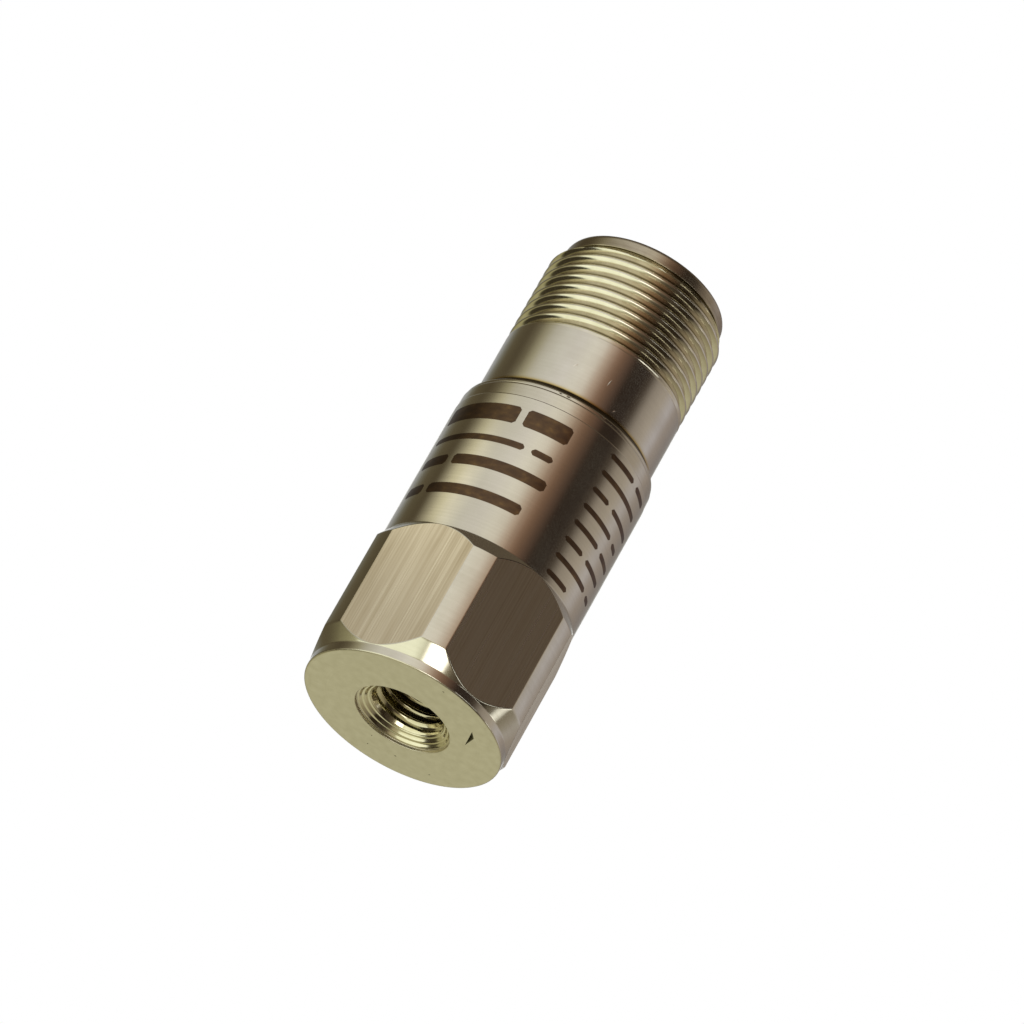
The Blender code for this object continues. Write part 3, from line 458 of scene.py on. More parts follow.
def inside(point, outline):
    """Whether a point lies inside a convex outline, given either way round."""
    signs = []
    for a, b in zip(outline, outline[1:] + outline[:1]):
        signs.append((b[0] - a[0]) * (point[1] - a[1]) - (b[1] - a[1]) * (point[0] - a[0]) > 0)
    return all(signs) or not any(signs)


def add_base_face(shape, outer_angles):
    """The faced ring between the stud hole's mouth and the outer edge, with the dent and the pits in it."""
    loops = [[(FACE_RING * cos(a), FACE_RING * sin(a)) for a in outer_angles]]
    loops.append([(MOUTH_RING * cos(a), MOUTH_RING * sin(a)) for a in round_angles(STUD_COLUMNS)])
    hollows = [(list(DENT), DENT_TIP)]
    for x, y, size in PITS:
        ring = []
        for i in range(7):
            a = tau * i / 7 + x
            wide = size * (1 + 0.3 * sin(3 * a + y))
            ring.append((x + wide * cos(a), y + 0.7 * wide * sin(a)))
        hollows.append((ring, (x, y, 0.6 * size)))
    loops += [ring for ring, tip in hollows]
    points, edges = [], []
    for loop in loops:
        first = len(points)
        points += [Vector(p) for p in loop]
        edges += [(first + i, first + (i + 1) % len(loop)) for i in range(len(loop))]
    places, _, faces, _, _, _ = delaunay_2d_cdt(points, edges, [], 0, 1e-6)
    vertices = [shape.verts.new((p[0] * MM, p[1] * MM, 0.0)) for p in places]
    for face in faces:
        centre = sum((places[i] for i in face), Vector((0.0, 0.0))) / len(face)
        if inside(centre, loops[1]) or any(inside(centre, ring) for ring, tip in hollows):
            continue
        shape.faces.new([vertices[i] for i in face])
    for ring, tip in hollows:
        bottom = shape.verts.new(Vector(tip) * MM)
        rim = [shape.verts.new((x * MM, y * MM, 0.0)) for x, y in ring]
        for a, b in zip(rim, rim[1:] + rim[:1]):
            shape.faces.new((a, b, bottom))
    for vertex in [v for v in vertices if not v.link_faces]:
        shape.verts.remove(vertex)


def make_housing(tree, finishes):
    """Hexagon base and round body with the stepped, tapped stud hole."""
    shape = bmesh.new()
    angles = housing_angles()
    join_columns(shape, [housing_column(a) for a in angles], angles)
    add_base_face(shape, angles)

    mouth = rounded_outline([
        (MOUTH_RING, 0.0, 0), (RECESS_RADIUS, 0.0, 0.05), (RECESS_RADIUS - 0.02, 0.26, 0.03),
        *MOUTH_STEPS, (STUD_MOUTH_RADIUS, STUD_MOUTH, 0),
    ])
    turn_outline(shape, mouth, STUD_COLUMNS)
    turn_outline(shape, [(STUD_MINOR, STUD_DEPTH), (0.0, STUD_DRILL_TIP)], STUD_COLUMNS)
    length = STUD_DEPTH - STUD_MOUTH
    grow_thread(tree, shape, {
        "Bottom": STUD_DEPTH, "Length": length, "Pitch": STUD_PITCH, "Crest radius": STUD_MINOR,
        "Root radius": STUD_MAJOR, "Lead radius": STUD_MOUTH_RADIUS, "Lead length": 0.85, "Run-out": 0.9,
        "Burr": 0.0, "Burr grain": 0.3,
    }, {
        "Side": -1.0, "Crest share": 0.20, "Root share": 0.12, "Flank rounding": 0.4, "Columns": STUD_COLUMNS,
        "Rows a turn": 18, "Turns": ceil(length / STUD_PITCH) + 1, "Seed": 1,
        "Material": finishes["tapped"]})

    def choose(centre, normal):
        radius = hypot(centre.x, centre.y)
        if radius < MOUTH_RING and centre.z < CAVITY_FLOOR - 0.5:
            return "tapped" if centre.z > 0.3 else "faced"
        if centre.z < 0.3 and radius < BODY_RADIUS - 0.03:
            return "faced" if normal.z < -0.999 or radius > FACE_RING else "bruise"
        if centre.z > WELD_FOOT and radius < WELD_RADIUS:
            return "weld" if centre.z > WELD_FOOT - 0.01 + 0.3 * (WELD_RADIUS - radius) else "hollow"
        if radius < BODY_RADIUS - 0.2 and centre.z < BODY_TOP - 0.2:
            return "hollow"
        off = (degrees(atan2(centre.y, centre.x)) + 30) % 60 - 30
        on_flat = abs(radius * cos(radians(off)) - FLAT_RADIUS) < 0.006
        if on_flat and abs(normal.z) < 0.02 and COLLAR_TOP < centre.z < HEXAGON_TOP:
            return "flat"
        if centre.z > BAND_BOTTOM:
            return "band"
        return "land" if centre.z < HEXAGON_TOP else "body"

    return finish_piece("hexagon_housing", shape, finishes, choose)


def shell_angle(index):
    """Angle of a connector column. Those beside the keyway stand close together at its walls."""
    step = tau / SHELL_COLUMNS
    wall = asin(KEYWAY_HALF / SOCKET_RADIUS)
    nearest = round(wall / step)
    off = (index * step - pi / 2 + pi) % tau - pi
    place = abs(round(off / step))
    side = 1 if off > 0 else -1
    if place == nearest:
        return pi / 2 + side * (wall + 0.0015)
    if place == nearest - 1:
        return pi / 2 + side * (wall - 0.0015)
    return index * step


def shell_column(angle):
    """Outline of the connector from the thread's top over the rim and round to the thread's bottom."""
    off = (angle - pi / 2 + pi) % tau - pi
    in_keyway = abs(off) < asin(KEYWAY_HALF / SOCKET_RADIUS)
    socket = KEYWAY_REACH / cos(off) if in_keyway else SOCKET_RADIUS
    return rounded_outline([
        (LIP_RADIUS, THREAD_TOP, 0), (LIP_RADIUS - 0.14, THREAD_TOP + 0.04, 0.03),
        (LIP_RADIUS - 0.14, THREAD_TOP + 0.14, 0.03), (LIP_RADIUS, THREAD_TOP + 0.24, 0.04),
        (LIP_RADIUS, RIM - 0.38, 0.12), (LIP_RADIUS - 0.11, RIM - 0.12, 0.10),
        (LIP_RADIUS - 0.36, RIM, 0.08), (socket, RIM, 0.14), (socket, GLASS_TOP, 0),
        (SOCKET_RADIUS, GLASS_TOP, 0), (SOCKET_RADIUS, GLASS_LEDGE, 0),
        (SHELL_BORE, GLASS_LEDGE, 0), (SHELL_BORE, SHELL_BOTTOM, 0),
        (NECK_RADIUS - 0.3, SHELL_BOTTOM, 0), (NECK_RADIUS, SHELL_BOTTOM + 0.3, 0),
        (NECK_RADIUS, THREAD_BOTTOM - 0.20, 0), (NECK_RADIUS, THREAD_BOTTOM - 0.05, 0),
        (NECK_RADIUS, THREAD_BOTTOM, 0),
    ], steps=4)


def make_connector(tree, finishes):
    """Neck, thread, lip and keyed socket in one piece."""
    shape = bmesh.new()
    length = THREAD_TOP - THREAD_BOTTOM
    grow_thread(tree, shape, {
        "Bottom": THREAD_BOTTOM, "Length": length, "Pitch": THREAD_PITCH, "Crest radius": NECK_RADIUS,
        "Root radius": NECK_RADIUS - THREAD_DEPTH, "Lead radius": LIP_RADIUS, "Lead length": 0.65,
        "Run-out": 0.5, "Burr": 0.24, "Burr grain": 0.22,
    }, {
        "Side": 1.0, "Crest share": 0.12, "Root share": 0.04, "Flank rounding": 0.55,
        "Columns": SHELL_COLUMNS, "Rows a turn": 26, "Turns": ceil(length / THREAD_PITCH) + 1, "Seed": 4,
        "Material": finishes["thread"]})
    for vertex in shape.verts:
        radius = hypot(vertex.co.x, vertex.co.y)
        index = round(atan2(vertex.co.y, vertex.co.x) / tau * SHELL_COLUMNS) % SHELL_COLUMNS
        angle = shell_angle(index)
        vertex.co.x, vertex.co.y = radius * cos(angle), radius * sin(angle)
    angles = [shell_angle(i) for i in range(SHELL_COLUMNS)]
    join_columns(shape, [shell_column(a) for a in angles], angles)

    def choose(centre, normal):
        radius = hypot(centre.x, centre.y)
        if radius < SOCKET_RADIUS + 0.7 and centre.z < RIM - 0.01 and (radius < 6.75 or centre.z < 34):
            return "socket"
        if centre.z > THREAD_TOP and (radius > LIP_RADIUS - 0.04 or centre.z > THREAD_TOP + 0.3):
            return "lip"
        return "thread" if centre.z > THREAD_BOTTOM else "neck"

    return finish_piece("threaded_connector", shape, finishes, choose)


def make_glass(finish):
    """Glass fused into the socket, creeping a little up the wall and the contacts."""
    shape = bmesh.new()
    radii = [GLASS_RADIUS * (i / GLASS_RINGS) ** 0.85 for i in range(GLASS_RINGS + 1)]

    def height(x, y):
        edge = WALL_CREEP[0] * exp((hypot(x, y) - GLASS_RADIUS) / WALL_CREEP[1])
        beside = min(hypot(x - CONTACT_OFFSET, y), hypot(x + CONTACT_OFFSET, y)) - CONTACT_RADIUS
        return GLASS_TOP + edge + CONTACT_CREEP[0] * exp(-max(beside, 0.0) / CONTACT_CREEP[1])

    angles = round_angles(GLASS_COLUMNS)
    columns = []
    for a in angles:
        top = [(r, height(r * cos(a), r * sin(a))) for r in radii]
        columns.append(top + [(radii[-1], GLASS_BOTTOM), (0.0, GLASS_BOTTOM)])
    join_columns(shape, columns, angles)
    return finish_piece("fused_glass", shape, {"glass": finish}, lambda centre, normal: "glass")


def make_contact(name, side, finish):
    """One round contact: solder cup below the glass, rounded tip above it."""
    shape = bmesh.new()
    outline = rounded_outline([
        (0.0, CUP_BORE_TOP, 0), (CUP_BORE, CUP_BORE_TOP, 0.05), (CUP_BORE, CUP_BOTTOM, 0.05),
        (CUP_RADIUS, CUP_BOTTOM, 0.08), (CUP_RADIUS, CUP_TOP, 0.08),
        (CONTACT_RADIUS, CUP_TOP, 0.05), (CONTACT_RADIUS, CONTACT_TIP - CONTACT_TIP_ROUND, 0),
    ])
    steps = 8
    for i in range(1, steps + 1):
        bend = pi / 2 * i / steps
        outline.append((CONTACT_RADIUS - CONTACT_TIP_ROUND * (1 - cos(bend)),
                        CONTACT_TIP - CONTACT_TIP_ROUND * (1 - sin(bend))))
    outline.append((0.0, CONTACT_TIP))
    turn_outline(shape, outline, CONTACT_COLUMNS)
    bmesh.ops.translate(shape, vec=(side * CONTACT_OFFSET * MM, 0, 0), verts=shape.verts)
    return finish_piece(name, shape, {"plating": finish}, lambda centre, normal: "plating")


# Finishes


def start_finish(name, metallic, roughness):
    """A new node material with its shader set up, and its patterns read in object coordinates."""
    material = bpy.data.materials.new(name)
    material.use_nodes = True
    tree = material.node_tree
    shader = tree.nodes["Principled BSDF"]
    fill(shader, {"Metallic": metallic, "Roughness": roughness})
    add_node(tree, "TexCoord")
    return material


def parts_of(material):
    """A finish's node tree, its shader, and the place on the piece that its patterns are read from."""
    nodes = material.node_tree.nodes
    return material.node_tree, nodes["Principled BSDF"], nodes["Texture Coordinate"].outputs["Object"]


def axis_distance(tree, place):
    """Distance of a place from the axis."""
    level = add_node(tree, "VectorMath.MULTIPLY", (place, (1, 1, 0)))
    return add_node(tree, "VectorMath.LENGTH", (level,)).outputs["Value"]


def angle_and_height(tree, place):
    """Angle of a place round the axis, and its height."""
    parts = add_node(tree, "SeparateXYZ", (place,)).outputs
    return add_node(tree, "Math.ARCTAN2", (parts["Y"], parts["X"])), parts["Z"]


def greatest(tree, masks):
    """The greatest of several masks."""
    total = masks[0]
    for mask in masks[1:]:
        total = add_node(tree, "Math.MAXIMUM", (total, mask))
    return total


def lay_over(shader, share, colour):
    """Lay a colour over a finish's own, as far as the share says."""
    plain = shader.inputs["Base Color"].links[0].from_socket
    mixed = add_node(shader.id_data, "Mix", {0: share, 6: plain, 7: colour}, data_type="RGBA")
    fill(shader, {"Base Color": mixed.outputs[2]})


def grain_of(tree, place, size, detail=2.0):
    """Noise whose grains are size millimetres long on each axis."""
    scale = tuple(1 / (MM * s) for s in size)
    stretched = add_node(tree, "VectorMath.MULTIPLY", (place, scale))
    return add_node(tree, "TexNoise", {"Vector": stretched, "Scale": 1.0, "Detail": detail})


def metal_finish(name, dark, light, roughness, marks, patches, lay, relief, anisotropic=0.0, turn=0.25,
                 turned=True, rough_spread=0.08):
    """A machined metal: tool marks and broad patches in its tone, gloss and relief.

    marks and patches are grain sizes in millimetres, lay is the share of the marks in the tone, and
    relief is their height in millimetres. turn is how far the stretched highlights are turned, in whole
    turns, turned lays the marks round the axis, and rough_spread is how far the roughness varies.
    """
    material = start_finish(name, 1.0, roughness)
    tree, shader, place = parts_of(material)
    path = place
    if turned:
        # Read by radius and height, so that the pattern runs round the axis as tool marks do
        height = add_node(tree, "SeparateXYZ", (place,)).outputs["Z"]
        path = add_node(tree, "CombineXYZ", (axis_distance(tree, place), height))
    fine = grain_of(tree, path, marks, 3.0)
    broad = grain_of(tree, place, patches, 3.0)
    tone = add_node(tree, "Mix", {0: lay, 2: broad, 3: fine})
    colour = add_node(tree, "ValToRGB", (tone,), ((0.30, dark), (0.70, light)))
    dull, bright = roughness + rough_spread / 2, roughness - rough_spread / 2
    gloss = add_node(tree, "MapRange", (tone, 0.3, 0.7, dull, bright))
    bump = add_node(tree, "Bump", {"Height": fine, "Distance": relief * MM})
    fill(shader, {"Base Color": colour, "Roughness": gloss, "Normal": bump})
    if anisotropic:
        around = add_node(tree, "Tangent", direction_type="RADIAL", axis="Z")
        fill(shader, {"Anisotropic": anisotropic, "Anisotropic Rotation": turn, "Tangent": around})
    return material


def spots(tree, place, marks):
    """Mask of small scratches on a round wall. Each is (angle, height, length, width, tilt, radius)."""
    angle, height = angle_and_height(tree, place)
    masks = []
    for azimuth, level, length, width, tilt, radius in marks:
        arc = add_node(tree, "Math.MULTIPLY_ADD", (angle, radius, -radians(azimuth) * radius))
        rise = add_node(tree, "Math.MULTIPLY_ADD", (height, 1 / MM, -level))
        flat = add_node(tree, "CombineXYZ", (arc, rise))
        turned = add_node(tree, "VectorRotate", {"Vector": flat, "Angle": -radians(tilt)},
                          rotation_type="Z_AXIS")
        sized = add_node(tree, "VectorMath.MULTIPLY", (turned, (2 / length, 2 / width, 0)))
        masks.append(add_node(tree, "TexGradient", (sized,), gradient_type="SPHERICAL").outputs[1])
    return greatest(tree, masks)


def etched_row(tree, angle, height, level, tall, start, bars):
    """Mask of one row of plain bars with softened ends, in place of any lettering."""
    total = sum(bars) + BAR_GAP * len(bars)
    end = min(0.22, 0.4 * tall)
    stops, reached = [(0.0, "000000")], 0.0
    for length in bars:
        stops += [(reached / total + 1e-4, "000000"), ((reached + end) / total, "FFFFFF"),
                  ((reached + length - end) / total, "FFFFFF"), ((reached + length) / total, "000000")]
        reached += length + BAR_GAP
    share = add_node(tree, "Math.MULTIPLY_ADD", (
        angle, BODY_RADIUS / total, -radians(start) * BODY_RADIUS / total))
    reach = add_node(tree, "ValToRGB", (share,), stops)
    half = add_node(tree, "Math.MULTIPLY_ADD", (reach, end, tall / 2 - end))
    inked = add_node(tree, "Math.GREATER_THAN", (reach, 0.01))
    away = add_node(tree, "Math.MULTIPLY_ADD", (height, 1 / MM, -level))
    away = add_node(tree, "Math.ABSOLUTE", (away,))
    past = add_node(tree, "Math.SUBTRACT", (away, half))
    mask = add_node(tree, "MapRange", (past, -0.02, 0.02, 1.0, 0.0))
    return add_node(tree, "Math.MULTIPLY", (mask, inked))


def etched_body_steel():
    """Turned stainless with dark laser-etched rows: the beam leaves a brown, slightly rougher oxide."""
    material = metal_finish(
        "turned_stainless_etched", "D2CCB6", "E0DAC4", 0.18, (0.25, 0.25, 1), (3, 3, 5), 0.35, 0.0003, 0.7)
    tree, shader, place = parts_of(material)
    angle, height = angle_and_height(tree, place)
    mask = greatest(tree, [etched_row(tree, angle, height, *row) for row in ETCHED_ROWS])
    burn = add_node(tree, "ValToRGB", (grain_of(tree, place, (0.8, 0.8, 0.5)),),
                    ((0.35, "5A4838"), (0.60, "67523C"), (0.75, "765E40")))
    lay_over(shader, mask, burn)
    smooth = shader.inputs["Roughness"].links[0].from_socket
    fill(shader, {"Roughness": add_node(tree, "Mix", {0: mask, 2: smooth, 3: 0.36})})
    return material


def marked(material, marks, colour, height):
    """Add small marks of one colour to a metal finish, standing up or sunk by the height in millimetres."""
    tree, shader, place = parts_of(material)
    mask = spots(tree, place, marks)
    lay_over(shader, mask, linear(colour))
    bump = shader.inputs["Normal"].links[0].from_node
    fill(shader, {"Normal": add_node(tree, "Bump", {
        "Height": mask, "Distance": height * MM, "Normal": bump})})
    return material


def neck_steel():
    """Fine-turned stainless neck: satin, with a painted shade at its foot where it meets the weld, a painted
    golden highlight just above, and a few scratches.
    """
    material = metal_finish(
        "fine_turned_stainless", "D4CEBA", "E0DBC8", 0.18, (0.30, 0.30, 1), (2.5, 2.5, 2.5), 0.3, 0.0003, 0.7)
    tree, shader, place = parts_of(material)
    height = add_node(tree, "SeparateXYZ", (place,)).outputs["Z"]
    # Painted shade just above the weld, then a painted golden highlight, fading into the neck's own colour
    # 0.6 mm up
    foot_rise = add_node(tree, "MapRange", (height, BODY_TOP * MM, (BODY_TOP + 0.6) * MM))
    painted_shading = add_node(tree, "ValToRGB", (foot_rise,), ((0.30, "3A2810"), (0.45, "C4AE70"), (1.0, "DAD4BE")))
    lay_over(shader, add_node(tree, "MapRange", (foot_rise, 1.0, 0.45)), painted_shading)
    return marked(material, NECK_SCRATCHES, "F0EAD8", 0.015)


def painted_depth_shade(material, along, clean, full_shade_at, painted_shading):
    """Paint shade over a metal finish where it lies deeper: past a height in a hole, or under a radius on a
    thread. The painted shade starts at the first reading and is full at the second.
    """
    tree, shader, place = parts_of(material)
    if along == "radius":
        reading = axis_distance(tree, place)
    else:
        reading = add_node(tree, "SeparateXYZ", (place,)).outputs["Z"]
    share = add_node(tree, "MapRange", (reading, clean * MM, full_shade_at * MM))
    lay_over(shader, share, linear(painted_shading))
    return material


def plain_finish(name, dark, light, metallic, roughness, grain, relief):
    """A simple finish: two near tones in grains of the given size, with their relief, in millimetres."""
    material = start_finish(name, metallic, roughness)
    tree, shader, place = parts_of(material)
    noise = grain_of(tree, place, grain)
    colour = add_node(tree, "ValToRGB", (noise,), ((0.35, dark), (0.65, light)))
    bump = add_node(tree, "Bump", {"Height": noise, "Distance": relief * MM})
    fill(shader, {"Base Color": colour, "Normal": bump})
    return material


def sealing_glass():
    """Fused sealing glass: dark green, glossy, with faint flow streaks."""
    material = plain_finish("fused_sealing_glass", "16261F", "2C463C", 0.0, 0.09, (0.6, 0.6, 0.3), 0.004)
    fill(parts_of(material)[1], {"IOR": 1.52})
    return material


def make_finishes():
    """Every finish on the housing and the connector."""
    # Bar stock turned with a fine feed: a warm grey satin whose rings stretch highlights along the axis
    body = etched_body_steel()
    neck = neck_steel()
    land = metal_finish(
        "turned_bar_stock", "D2CCB6", "E2DDC8", 0.15, (0.30, 0.30, 1), (2, 2, 3), 0.3, 0.0003, 0.6)
    # Polished with a fine stick on the lathe: glossier than the body, rings barely felt
    band = metal_finish(
        "polished_band", "CCC5AE", "E0DAC4", 0.14, (0.22, 0.22, 1), (2, 2, 2), 0.4, 0.0004, 0.6)
    band = marked(band, WELD_PITS, "2A2014", -0.03)
    # Milled and drawn over an abrasive belt along the axis: long streaks, light spread sideways
    flat = metal_finish(
        "belt_brushed_flat", "C2B290", "F2E7CA", 0.29, (0.16, 0.16, 40), (1.4, 1.4, 9), 0.6, 0.00002, 0.7,
        turn=0.0, turned=False, rough_spread=0.06)
    # Faced on the lathe and lapped on fine paper: even satin with rings and soft mottling
    faced = metal_finish(
        "faced_base", "CEC6AE", "D8D0BA", 0.34, (0.12, 0.12, 1), (0.7, 0.7, 1), 0.3, 0.0004, 0.3)
    # Drilled, countersunk and tapped: bright cut metal with coarse rings, and painted shade deeper in the
    # hole
    tapped = metal_finish(
        "tapped_hole", "CFC6A0", "E8E2C8", 0.15, (0.20, 0.20, 1), (1, 1, 1), 0.5, 0.0010, 0.5)
    tapped = painted_depth_shade(tapped, "height", 1.2, 4.5, "6A5C34")
    # Struck metal: crushed grain that holds dirt, duller and darker than the face round it
    bruise = metal_finish(
        "struck_metal", "54503E", "8C8668", 0.50, (0.1, 0.1, 0.1), (0.3, 0.3, 0.3), 0.5, 0.004)
    # Laser weld bead and its slope up to the neck: dark brown to near black, a painted shade of the groove
    # there
    weld = metal_finish("laser_weld_painted_shade", "1E160C", "5E4A26", 0.35, (0.3, 0.3, 0.3), (0.5, 0.5, 0.5), 0.6, 0.006)
    # Thread cut with a single point: bright flanks, slightly torn grain, painted shade in the roots
    thread = metal_finish(
        "cut_thread", "D6CFB4", "E8E2CC", 0.14, (0.40, 0.40, 1), (1, 1, 1), 0.4, 0.0001, 0.5,
        rough_spread=0.02)
    thread = painted_depth_shade(thread, "radius", NECK_RADIUS - 0.48, NECK_RADIUS - 0.64, "7E7250")
    # Lip brushed by the coupling nut: a duller, darker satin with rubbed rings
    lip = metal_finish(
        "rubbed_lip", "A0947C", "C6BCA2", 0.27, (0.20, 0.20, 1), (1.5, 1.5, 1), 0.4, 0.0002, 0.5)
    # Socket and hollow, bored and left as cut: plain grey satin with rings
    socket = metal_finish(
        "bored_socket", "BEB69C", "D4CDB4", 0.30, (0.20, 0.20, 1), (2, 2, 2), 0.4, 0.0008, 0.3)
    housing = {"body": body, "land": land, "band": band, "flat": flat, "faced": faced, "tapped": tapped,
               "weld": weld, "bruise": bruise, "hollow": socket}
    connector = {"neck": neck, "thread": thread, "lip": lip, "socket": socket}
    return housing, connector


# Finishes of the carried-over material slots: name, two tones, metallic, roughness, grain size, relief
INNER_FINISHES = {
    # Pressed and fired alumina, ground flat: chalky ivory with a fine speckle
    "alumina": ("ground_alumina", "DDD8C8", "EDE9DC", 0.0, 0.55, (0.2, 0.2, 0.2), 0.004),
    # Wound amber film: clear brown gloss with faint winding lines
    "polyimide_film": ("amber_polyimide_film", "A5661F", "C08034", 0.0, 0.30, (2, 2, 0.3), 0.002),
    # Drawn tinned sheet: pale grey with soft draw marks up the wall
    "tin_plate": ("drawn_tin_plate", "B9B8B2", "D2D1CC", 1.0, 0.32, (0.3, 0.3, 4.0), 0.002),
    # Surface-ground stainless: cool grey with straight grinding lines
    "ground_steel": ("surface_ground_steel", "9A988F", "B8B6AE", 1.0, 0.32, (0.1, 3.0, 0.1), 0.001),
    # Lapped piezoceramic: matt cream with a sandy grain
    "piezoceramic": ("lapped_piezoceramic", "C2B894", "D8D0B0", 0.0, 0.62, (0.15, 0.15, 0.15), 0.004),
    # Rolled brass strip: yellow, with lines along the rolling direction
    "rolled_brass": ("rolled_brass_strip", "B08F48", "CBB06C", 1.0, 0.32, (0.15, 0.15, 3.0), 0.001),
    # Sintered tungsten: heavy dark grey with a granular skin
    "tungsten": ("sintered_tungsten", "5E5C59", "7C7A76", 1.0, 0.46, (0.12, 0.12, 0.12), 0.004),
    # Glass epoxy laminate: the weave shows as a soft texture under the green mask
    "circuit_board": ("glass_epoxy_board", "235A38", "347048", 0.0, 0.40, (0.5, 0.5, 1.0), 0.004),
    # Moulded epoxy package: matt black, spark-eroded grain
    "moulded_epoxy": ("moulded_epoxy_package", "1E1E21", "2D2D31", 0.0, 0.58, (0.1, 0.1, 0.1), 0.005),
    # Fired capacitor body: brown ceramic with pale flecks
    "capacitor_ceramic": ("fired_capacitor_body", "9C7E5A", "B89A74", 0.0, 0.48, (0.2, 0.2, 0.2), 0.003),
    # Extruded insulation: soft sheen with faint lines along the wire
    "red_insulation": ("red_wire_insulation", "9C2A24", "B63A32", 0.0, 0.42, (0.3, 0.3, 2.0), 0.003),
    "black_insulation": ("black_wire_insulation", "1D1D20", "2B2B2F", 0.0, 0.42, (0.3, 0.3, 2.0), 0.003),
    "white_insulation": ("white_wire_insulation", "DAD8D0", "ECEAE4", 0.0, 0.42, (0.3, 0.3, 2.0), 0.003),
}


def dress_inner_pieces():
    """Give each carried-over node the finish of what it is made of."""
    finishes = {slot: plain_finish(*row) for slot, row in INNER_FINISHES.items()}
    for row in frame["record"]["subparts"]:
        finish = finishes.get(row["material_slot"])
        if finish:
            node = frame["nodes"][row["node"]]
            for slot in node.material_slots:
                slot.material = finish


# Stage, light and camera


def light_studio():
    """A soft room round the sensor: a wide window to the left, a dark corner to the right, a pale table."""
    world = bpy.data.worlds.new("studio")
    bpy.context.scene.world = world
    world.use_nodes = True
    tree = world.node_tree
    tree.nodes.clear()
    direction = add_node(tree, "TexCoord").outputs["Generated"]
    facing = add_node(tree, "VectorRotate", {"Vector": direction, "Angle": -CAMERA_AZIMUTH},
                      rotation_type="Z_AXIS")
    angle, height = angle_and_height(tree, facing)
    round_share = add_node(tree, "Math.MULTIPLY_ADD", (angle, 1 / tau, 0.5))
    walls, table = [
        add_node(tree, "ValToRGB", (round_share,), [((a + 180) / 360, colour) for a, colour in ring])
        for ring in (WALL_COLOURS, TABLE_COLOURS)]

    # What lies over the walls, from the first to the last, each with its share
    layers = []
    for low, high, colour in (
            (*TABLE_LEVELS, table), (*NADIR[:2], linear(NADIR[2])), (*CEILING[:2], linear(CEILING[2]))):
        share = add_node(tree, "MapRange", (height, low, high), interpolation_type="SMOOTHSTEP")
        layers.append((share, colour))

    # A dark upright on the right that runs down to below the sensor
    side = add_node(tree, "VectorMath.DOT_PRODUCT", (facing, UPRIGHT_SIDE)).outputs["Value"]
    off = add_node(tree, "Math.SUBTRACT", (side, UPRIGHT_MIDDLE))
    off = add_node(tree, "Math.ABSOLUTE", (off,))
    upright = add_node(tree, "MapRange", (off, *UPRIGHT_HALF))
    ahead = add_node(tree, "VectorMath.DOT_PRODUCT", (facing, UPRIGHT_AHEAD)).outputs["Value"]
    ahead = add_node(tree, "MapRange", (ahead, 0.1, 0.3))
    for share in (ahead, layers[0][0]):
        upright = add_node(tree, "Math.MULTIPLY", (upright, share))
    layers.append((upright, linear(UPRIGHT_COLOUR)))

    for azimuth, elevation, size, full, colour, power in LAMPS:
        a, e = radians(azimuth), radians(elevation)
        towards = (cos(e) * cos(a), cos(e) * sin(a), sin(e))
        near = add_node(tree, "VectorMath.DOT_PRODUCT", (facing, towards)).outputs["Value"]
        edge, core = cos(radians(size)), cos(radians(size * full))
        share = add_node(tree, "MapRange", (near, edge, core), interpolation_type="SMOOTHSTEP")
        layers.append((share, tuple(channel * power for channel in linear(colour)[:3]) + (1.0,)))
    lit = walls.outputs[0]
    for share, colour in layers:
        lit = add_node(tree, "Mix", {0: share, 6: lit, 7: colour}, data_type="RGBA").outputs[2]

    # The white backdrop: all that the camera sees, and what metal and glass mirror straight behind the sensor
    behind = add_node(tree, "VectorMath.DOT_PRODUCT", (direction, CAMERA_FORWARD))
    behind = add_node(tree, "MapRange", (behind.outputs["Value"], *BACKDROP_EDGE))
    rays = add_node(tree, "LightPath").outputs
    mirrored = greatest(tree, [rays["Is Glossy Ray"], rays["Is Transmission Ray"]])
    mirrored = add_node(tree, "Math.MULTIPLY", (mirrored, behind))
    around = add_node(tree, "Background", {"Color": lit})
    backdrop = add_node(tree, "Background", {"Color": (1, 1, 1, 1)})
    both = add_node(tree, "MixShader", (greatest(tree, [rays["Is Camera Ray"], mirrored]), around, backdrop))
    add_node(tree, "OutputWorld", (both,))


def stage_finish(name, sheet, unseen_by):
    """Give a sheet an empty node material, and let only the camera or only mirror images show it."""
    material = bpy.data.materials.new(name)
    material.use_nodes = True
    material.node_tree.nodes.clear()
    sheet.data.materials.append(material)
    for kind in ("diffuse", "transmission", "volume_scatter", "shadow", unseen_by):
        setattr(sheet, "visible_" + kind, False)
    return material.node_tree, add_node(material.node_tree, "TexCoord").outputs["Object"]


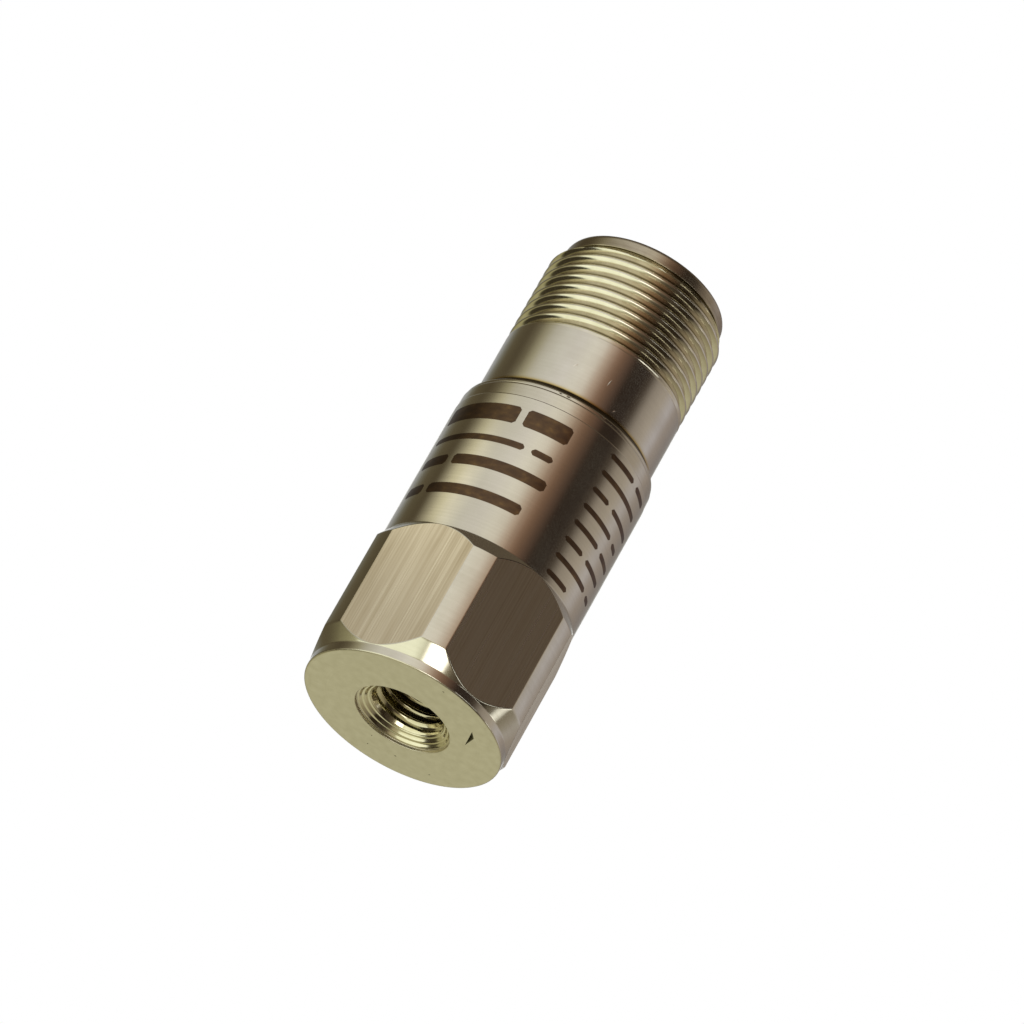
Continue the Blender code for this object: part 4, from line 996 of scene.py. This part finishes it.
def lay_floor():
    """Plain pale floor under the base face, white from afar. It takes the shadow, and is clear from below."""
    shape = bmesh.new()
    bmesh.ops.create_circle(shape, cap_ends=True, segments=64, radius=FLOOR_RADIUS * MM)
    bmesh.ops.translate(shape, vec=(0, 0, -FLOOR_DROP * MM), verts=shape.verts)
    floor = add_object("floor", shape)
    tree, place = stage_finish("pale_floor", floor, "glossy")
    tone = add_node(tree, "TexNoise", {"Vector": place, "Scale": 40.0, "Detail": 2.0})
    colour = add_node(tree, "ValToRGB", (tone,), ((0.3, "F3F4F4"), (0.7, "F5F6F6")))
    matt = add_node(tree, "BsdfDiffuse", {"Color": colour})
    glow = add_node(tree, "Emission", {"Color": colour, "Strength": 0.70})
    near = add_node(tree, "AddShader", (matt, glow))
    away = add_node(tree, "VectorMath.LENGTH", (place,)).outputs["Value"]
    far = add_node(tree, "MapRange", (away, 0.06, 0.5), interpolation_type="SMOOTHSTEP")
    white = add_node(tree, "Emission", {"Color": (1, 1, 1, 1)})
    lit = add_node(tree, "MixShader", (far, near, white))
    clear = add_node(tree, "BsdfTransparent")
    from_below = add_node(tree, "NewGeometry").outputs["Backfacing"]
    both = add_node(tree, "MixShader", (from_below, lit, clear))
    add_node(tree, "OutputMaterial", (both,))


def hang_reflector():
    """A small soft reflector to the left of the body, seen only in its metal: it lightens the body's left."""
    half_width, half_height = (half * MM for half in REFLECTOR_HALF)
    shape = bmesh.new()
    bmesh.ops.create_grid(shape, x_segments=1, y_segments=1, size=1.0)
    bmesh.ops.scale(shape, vec=(half_width, half_height, 1.0), verts=shape.verts)
    reflector = add_object("reflector", shape)
    angle = CAMERA_AZIMUTH + radians(REFLECTOR_AZIMUTH)
    out, up = Vector((cos(angle), sin(angle), 0.0)), Vector((0, 0, 1))
    axes = Matrix((out.cross(up), up, out)).transposed().to_4x4()
    reflector.matrix_world = Matrix.Translation((out * REFLECTOR_AWAY + up * REFLECTOR_HEIGHT) * MM) @ axes
    tree, place = stage_finish("soft_reflector", reflector, "camera")
    scaled = add_node(tree, "VectorMath.MULTIPLY", (place, (1 / half_width, 1 / half_height, 0)))
    away = add_node(tree, "VectorMath.LENGTH", (scaled,)).outputs["Value"]
    fade = add_node(tree, "MapRange", (away, 1.0, 0.1, 0.0, 0.5), interpolation_type="SMOOTHSTEP")
    glow = add_node(tree, "Emission", {"Color": linear("FFFBE8"), "Strength": fade})
    both = add_node(tree, "AddShader", (add_node(tree, "BsdfTransparent"), glow))
    add_node(tree, "OutputMaterial", (both,))


def place_camera():
    """The photo's camera: a long lens, level with neither the base face nor the axis."""
    data = bpy.data.cameras.new("camera")
    data.lens = CAMERA_LENS
    data.sensor_width = 36.0
    data.clip_start = 0.01
    camera = bpy.data.objects.new("camera", data)
    axes = Matrix((CAMERA_RIGHT, -Vector(CAMERA_DOWN), -Vector(CAMERA_FORWARD))).transposed()
    camera.matrix_world = Matrix.Translation(Vector(CAMERA_PLACE) * MM) @ axes.to_4x4()
    bpy.context.scene.collection.objects.link(camera)
    bpy.context.scene.camera = camera


bpy.context.scene.view_settings.view_transform = "Standard"
place_camera()
light_studio()
lay_floor()
hang_reflector()
housing_finishes, connector_finishes = make_finishes()
# Gold over nickel: warm, glossy, with drawn streaks along the contact
gold = plain_finish("gold_plated_contact", "C9A24A", "E2C274", 1.0, 0.20, (0.3, 0.3, 2.0), 0.0004)
thread_nodes = thread_tree()
for made, node, slot in (
        (make_housing(thread_nodes, housing_finishes), "housing", "housing_steel"),
        (make_connector(thread_nodes, connector_finishes), "connector_shell", "connector_steel"),
        (make_glass(sealing_glass()), "glass_insert", "sealing_glass"),
        (make_contact("plated_contact_a", -1, gold), "contact_pin_a", "gold_plating"),
        (make_contact("plated_contact_b", 1, gold), "contact_pin_b", "gold_plating")):
    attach(made, "root")
    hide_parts(node)
dress_inner_pieces()
